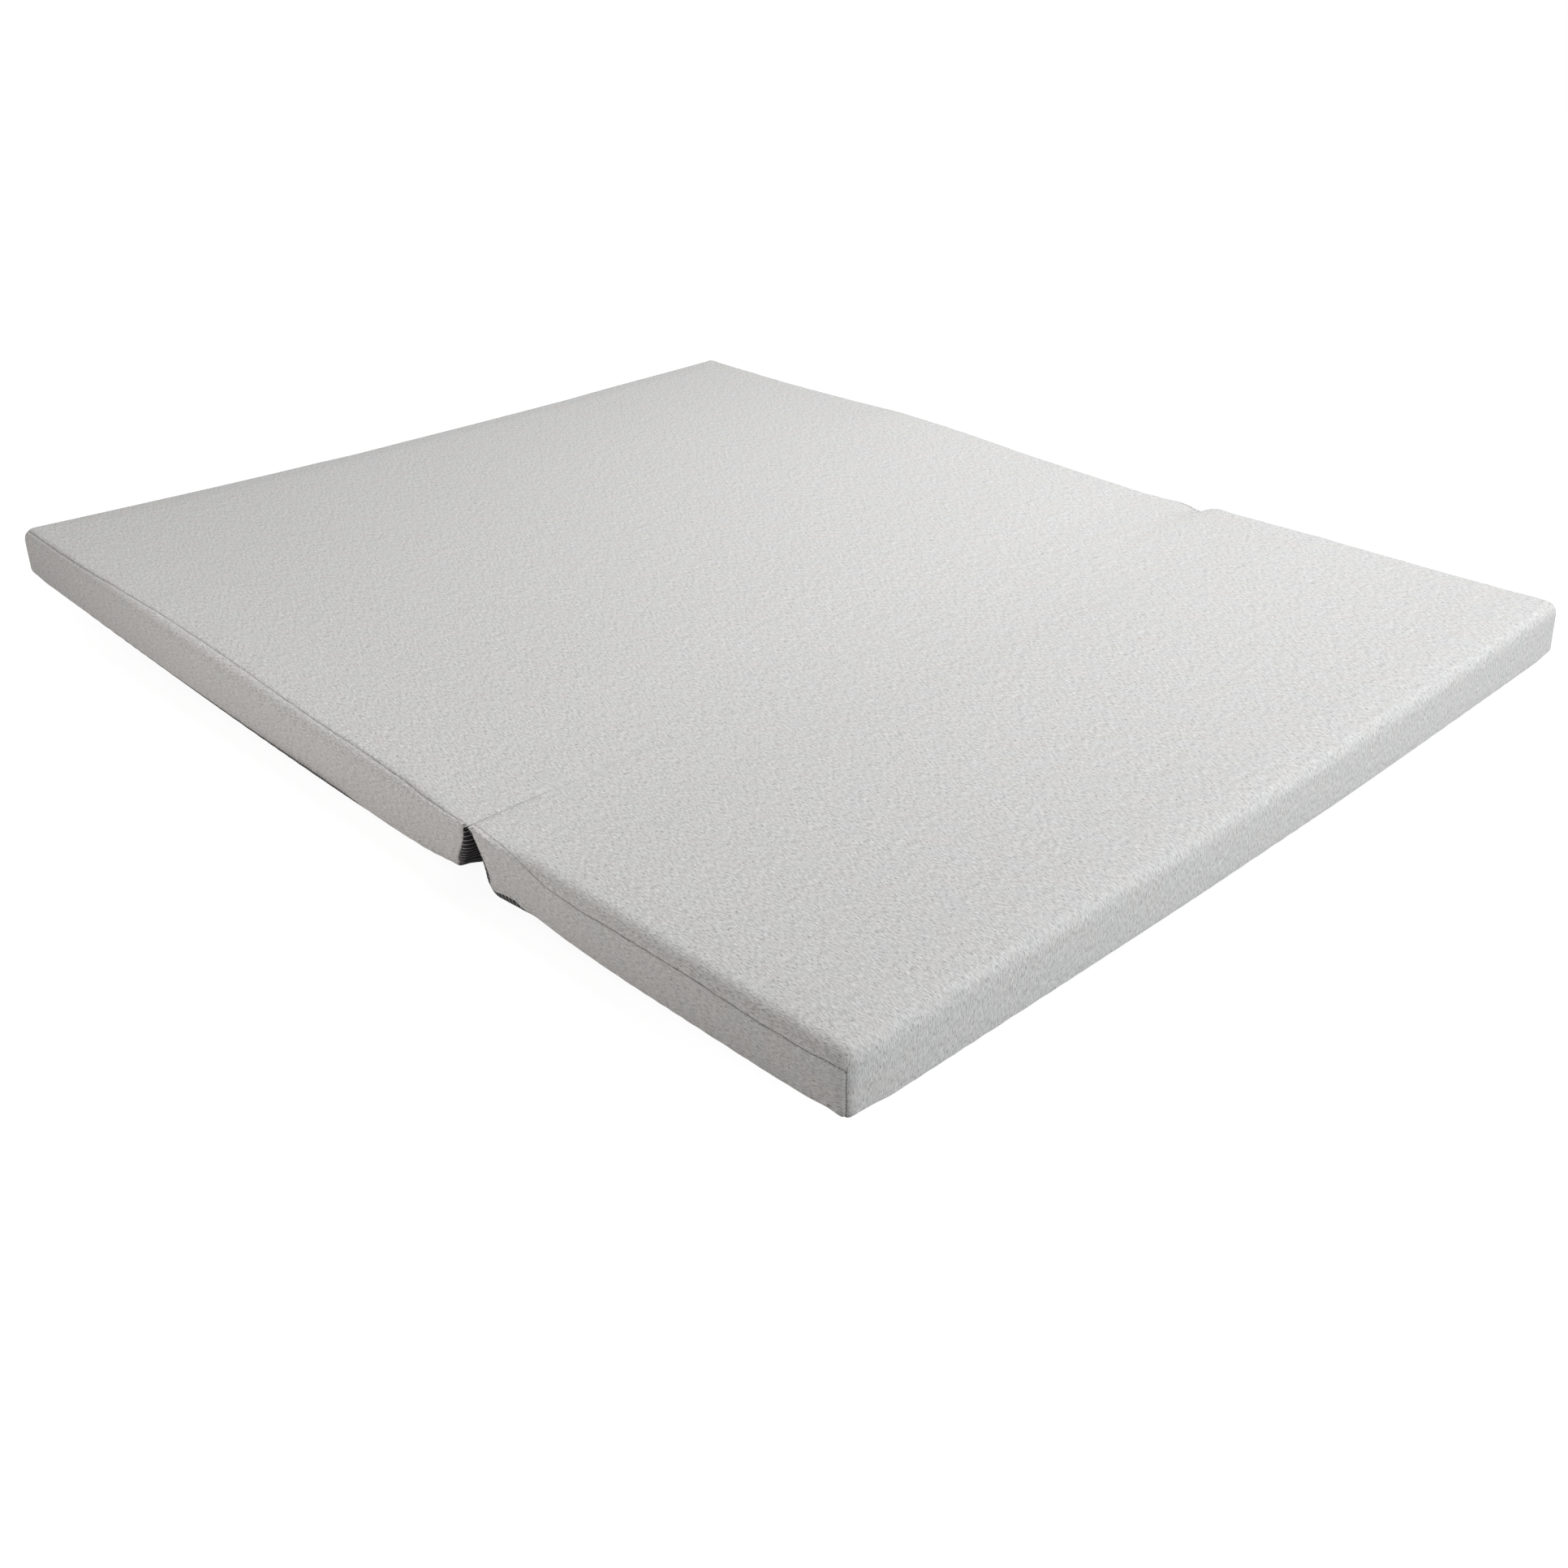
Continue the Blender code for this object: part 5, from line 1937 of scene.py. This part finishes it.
@dataclass
class Studio:
    """Camera, lights, floor and backdrop."""

    place: Triple = (1.7702, -1.5857, 1.0883)
    azimuth: float = math.radians(45.878)
    elevation: float = math.radians(29.817)
    roll: float = math.radians(-0.460)
    lens: float = 39.957
    sensor: float = 36.0
    shift: tuple[float, float] = (-0.02215, -0.00135)
    ambient: float = 0.11
    lamps: tuple[Lamp, ...] = (
        Lamp("overhead_softbox", (0.08, 1.12, 2.45), (0.1, 0.1, 0.0), 2.0, 66.0),
        Lamp("right_softbox", (3.55, 0.70, 1.15), (0.9, 0.0, 0.0), 1.9, 70.0, (0.975, 0.99, 1.0)),
        Lamp("near_fill", (-0.12, -2.15, 0.42), (0.0, -0.7, 0.0), 1.6, 16.3, (1.0, 0.955, 0.915)),
    )
    floor_size: float = 40.0
    floor_glow: float = 0.93
    floor_matt: float = 0.14
    floor_bounce: float = 0.45
    floor_start: float = 0.8
    floor_near: float = 1.3
    floor_far: float = 4.5

    def camera(self) -> None:
        """Camera that was fitted to the photograph."""
        az, el = self.azimuth, self.elevation
        back = Vector((math.sin(az) * math.cos(el), -math.cos(az) * math.cos(el), math.sin(el)))
        right = Vector((0.0, 0.0, 1.0)).cross(back).normalized()
        up = back.cross(right)
        c, s = math.cos(self.roll), math.sin(self.roll)
        data = bpy.data.cameras.new("photo_camera")
        data.lens = self.lens
        data.sensor_width = self.sensor
        data.shift_x, data.shift_y = self.shift
        data.dof.use_dof = False
        matrix = Matrix((c * right + s * up, c * up - s * right, back)).transposed().to_4x4()
        matrix.translation = Vector(self.place)
        obj = link("photo_camera", data)
        obj.matrix_world = matrix
        bpy.context.scene.camera = obj

    def surround(self) -> None:
        """A dim surround that looks white."""
        world = bpy.data.worlds.new("pale_surround")
        bpy.context.scene.world = world
        world.use_nodes = True
        sky = NodeTree(world.node_tree)
        strength = sky.add("Mix", {0: sky.seen(), 2: self.ambient, 3: 1.0}).outputs[0]
        glow = sky.add("Background", {"Color": WHITE, "Strength": strength})
        sky.add("OutputWorld", {"Surface": glow.outputs[0]})

    def floor(self) -> None:
        """White floor that keeps the pad's shadow."""
        around = ((-1.0, -1.0, 0.0), (1.0, -1.0, 0.0), (1.0, 1.0, 0.0), (-1.0, 1.0, 0.0))
        corners = np.array(around) * self.floor_size / 2.0
        obj = Mesher.build("studio_floor", corners, [(0, 1, 2, 3)])
        shader = Shader("white_floor")
        seen = shader.seen()
        place = {0: shader.place()}
        from_pad = shader.add("VectorMath", place, operation="LENGTH").outputs["Value"]
        shine = shader.between(from_pad, self.floor_start, self.floor_near, self.floor_glow, 1.0)
        fade = shader.between(from_pad, self.floor_near, self.floor_far, 1.0, 0.0)
        base = shader.add("Mix", {0: seen, 2: self.floor_bounce, 3: self.floor_matt}).outputs[0]
        grey = shader.math("MULTIPLY", base, fade)
        paint = shader.add("CombineColor", {0: grey, 1: grey, 2: grey})
        matt = shader.add("BsdfDiffuse", {"Color": paint.outputs[0]})
        strength = shader.math("MULTIPLY", seen, shine)
        glow = shader.add("Emission", {"Color": WHITE, "Strength": strength})
        both = shader.add("AddShader", {0: matt.outputs[0], 1: glow.outputs[0]})
        obj.data.materials.append(shader.close(both.outputs[0]))

    def build(self) -> None:
        """Set up the whole studio."""
        bpy.context.scene.view_settings.view_transform = "Standard"
        self.camera()
        self.surround()
        for lamp in self.lamps:
            lamp.hang()
        self.floor()


def make_sections() -> tuple[Section, Section]:
    """The two sections with their own sizes.

    Returns:
        The long and the short section.
    """
    long_section = Section(
        "long", Body.LONG, end_x=-LENGTH / 2.0, lean=0.018, zip_margin=0.130,
        lift_near=0.026, lift_far=0.0, lift_power=1.64, seam_base=0.0100,
        seam_walk=(
            (-0.90, 0.0107), (-0.81, 0.0123), (-0.73, 0.0120), (-0.66, 0.0097), (-0.59, 0.0062),
            (-0.51, 0.0026), (-0.44, 0.0002), (-0.30, -0.0003), (-0.20, 0.0022), (-0.07, 0.0055),
            (0.07, 0.0070), (0.15, 0.0095), (0.22, 0.0158), (0.27, 0.0190), (0.30, 0.0180),
        ),
        foot_walk=(
            (-0.90, -0.40), (-0.76, -0.40), (-0.70, 0.30), (-0.45, 0.40), (-0.25, 0.75),
            (-0.05, 1.0), (0.02, 0.85), (0.10, -0.30), (0.30, -0.60),
        ),
        fold_set=(
            (0.0, 0.006), (0.012, 0.0062), (0.022, 0.0046), (0.034, 0.0016), (0.046, -0.0001),
            (0.054, -0.0002), (0.0675, 0.001), (0.0764, 0.0042), (0.0786, 0.0),
        ),
        foot_curl=((0.18, 0.0), (0.21, 0.0012), (0.24, 0.0050), (0.275, 0.0096)),
        lining_turn=math.radians(15.0), foot_radius=0.019, corner_draw=0.0,
    )
    short_section = Section(
        "short", Body.SHORT, end_x=LENGTH / 2.0, lean=0.014, zip_margin=0.110,
        lift_near=0.012, lift_far=0.016, lift_power=1.5, seam_base=0.0300,
        seam_walk=(
            (0.30, 0.0080), (0.36, 0.0150), (0.405, 0.0215), (0.44, 0.0272), (0.50, 0.0300),
            (0.58, 0.0285), (0.66, 0.0280), (0.73, 0.0293), (0.78, 0.0311), (0.83, 0.0305),
            (0.87, 0.0280), (0.90, 0.0280),
        ),
        foot_walk=(
            (0.30, -0.30), (0.33, 0.0), (0.345, 0.10), (0.36, 0.30), (0.38, 0.42), (0.394, -0.30),
            (0.90, -0.50),
        ),
        foot_curl=(
            (0.33, 0.0010), (0.36, 0.0020), (0.385, 0.0036), (0.40, 0.0056), (0.415, 0.0062),
            (0.44, 0.0050), (0.53, 0.001), (0.58, 0.0), (0.80, 0.0), (0.85, 0.0022),
            (0.868, 0.0010), (0.884, -0.0030), (0.90, -0.0046),
        ),
        fold_set=(
            (0.0, 0.010), (0.012, 0.0112), (0.027, 0.0115), (0.0465, 0.0078), (0.0764, 0.0065),
            (0.0786, 0.0),
        ),
        turn_radius=0.014, lining_turn=math.radians(7.0),
    )
    return long_section, short_section


def main() -> None:
    """Build and dress the pad, piece by piece."""
    logging.basicConfig(level=logging.INFO, format="%(name)s: %(message)s")
    Studio().build()
    finishes = Finishes()
    sections = make_sections()
    moving = ((Body.LONG_SLIDER, Body.LONG_PULL), (Body.SHORT_SLIDER, Body.SHORT_PULL))
    for section, (slider, pull) in zip(sections, moving):
        section.swell = Swelling(section)
        Foam(section).build(finishes)
        cover = Cover(section)
        for kind, obj in cover.build(finishes).items():
            LOG.info("%s %s: %d faces", section.name, kind.value, len(obj.data.polygons))
        Zip(section, slider, pull).build(finishes)
        stitches = SeamStitches().build(section, cover.seam_paths(), finishes.thread)
        LOG.info("%s stitches: %d faces", section.name, len(stitches.data.polygons))
    Crease(sections[0]).build(finishes)


if __name__ == "__main__":
    main()
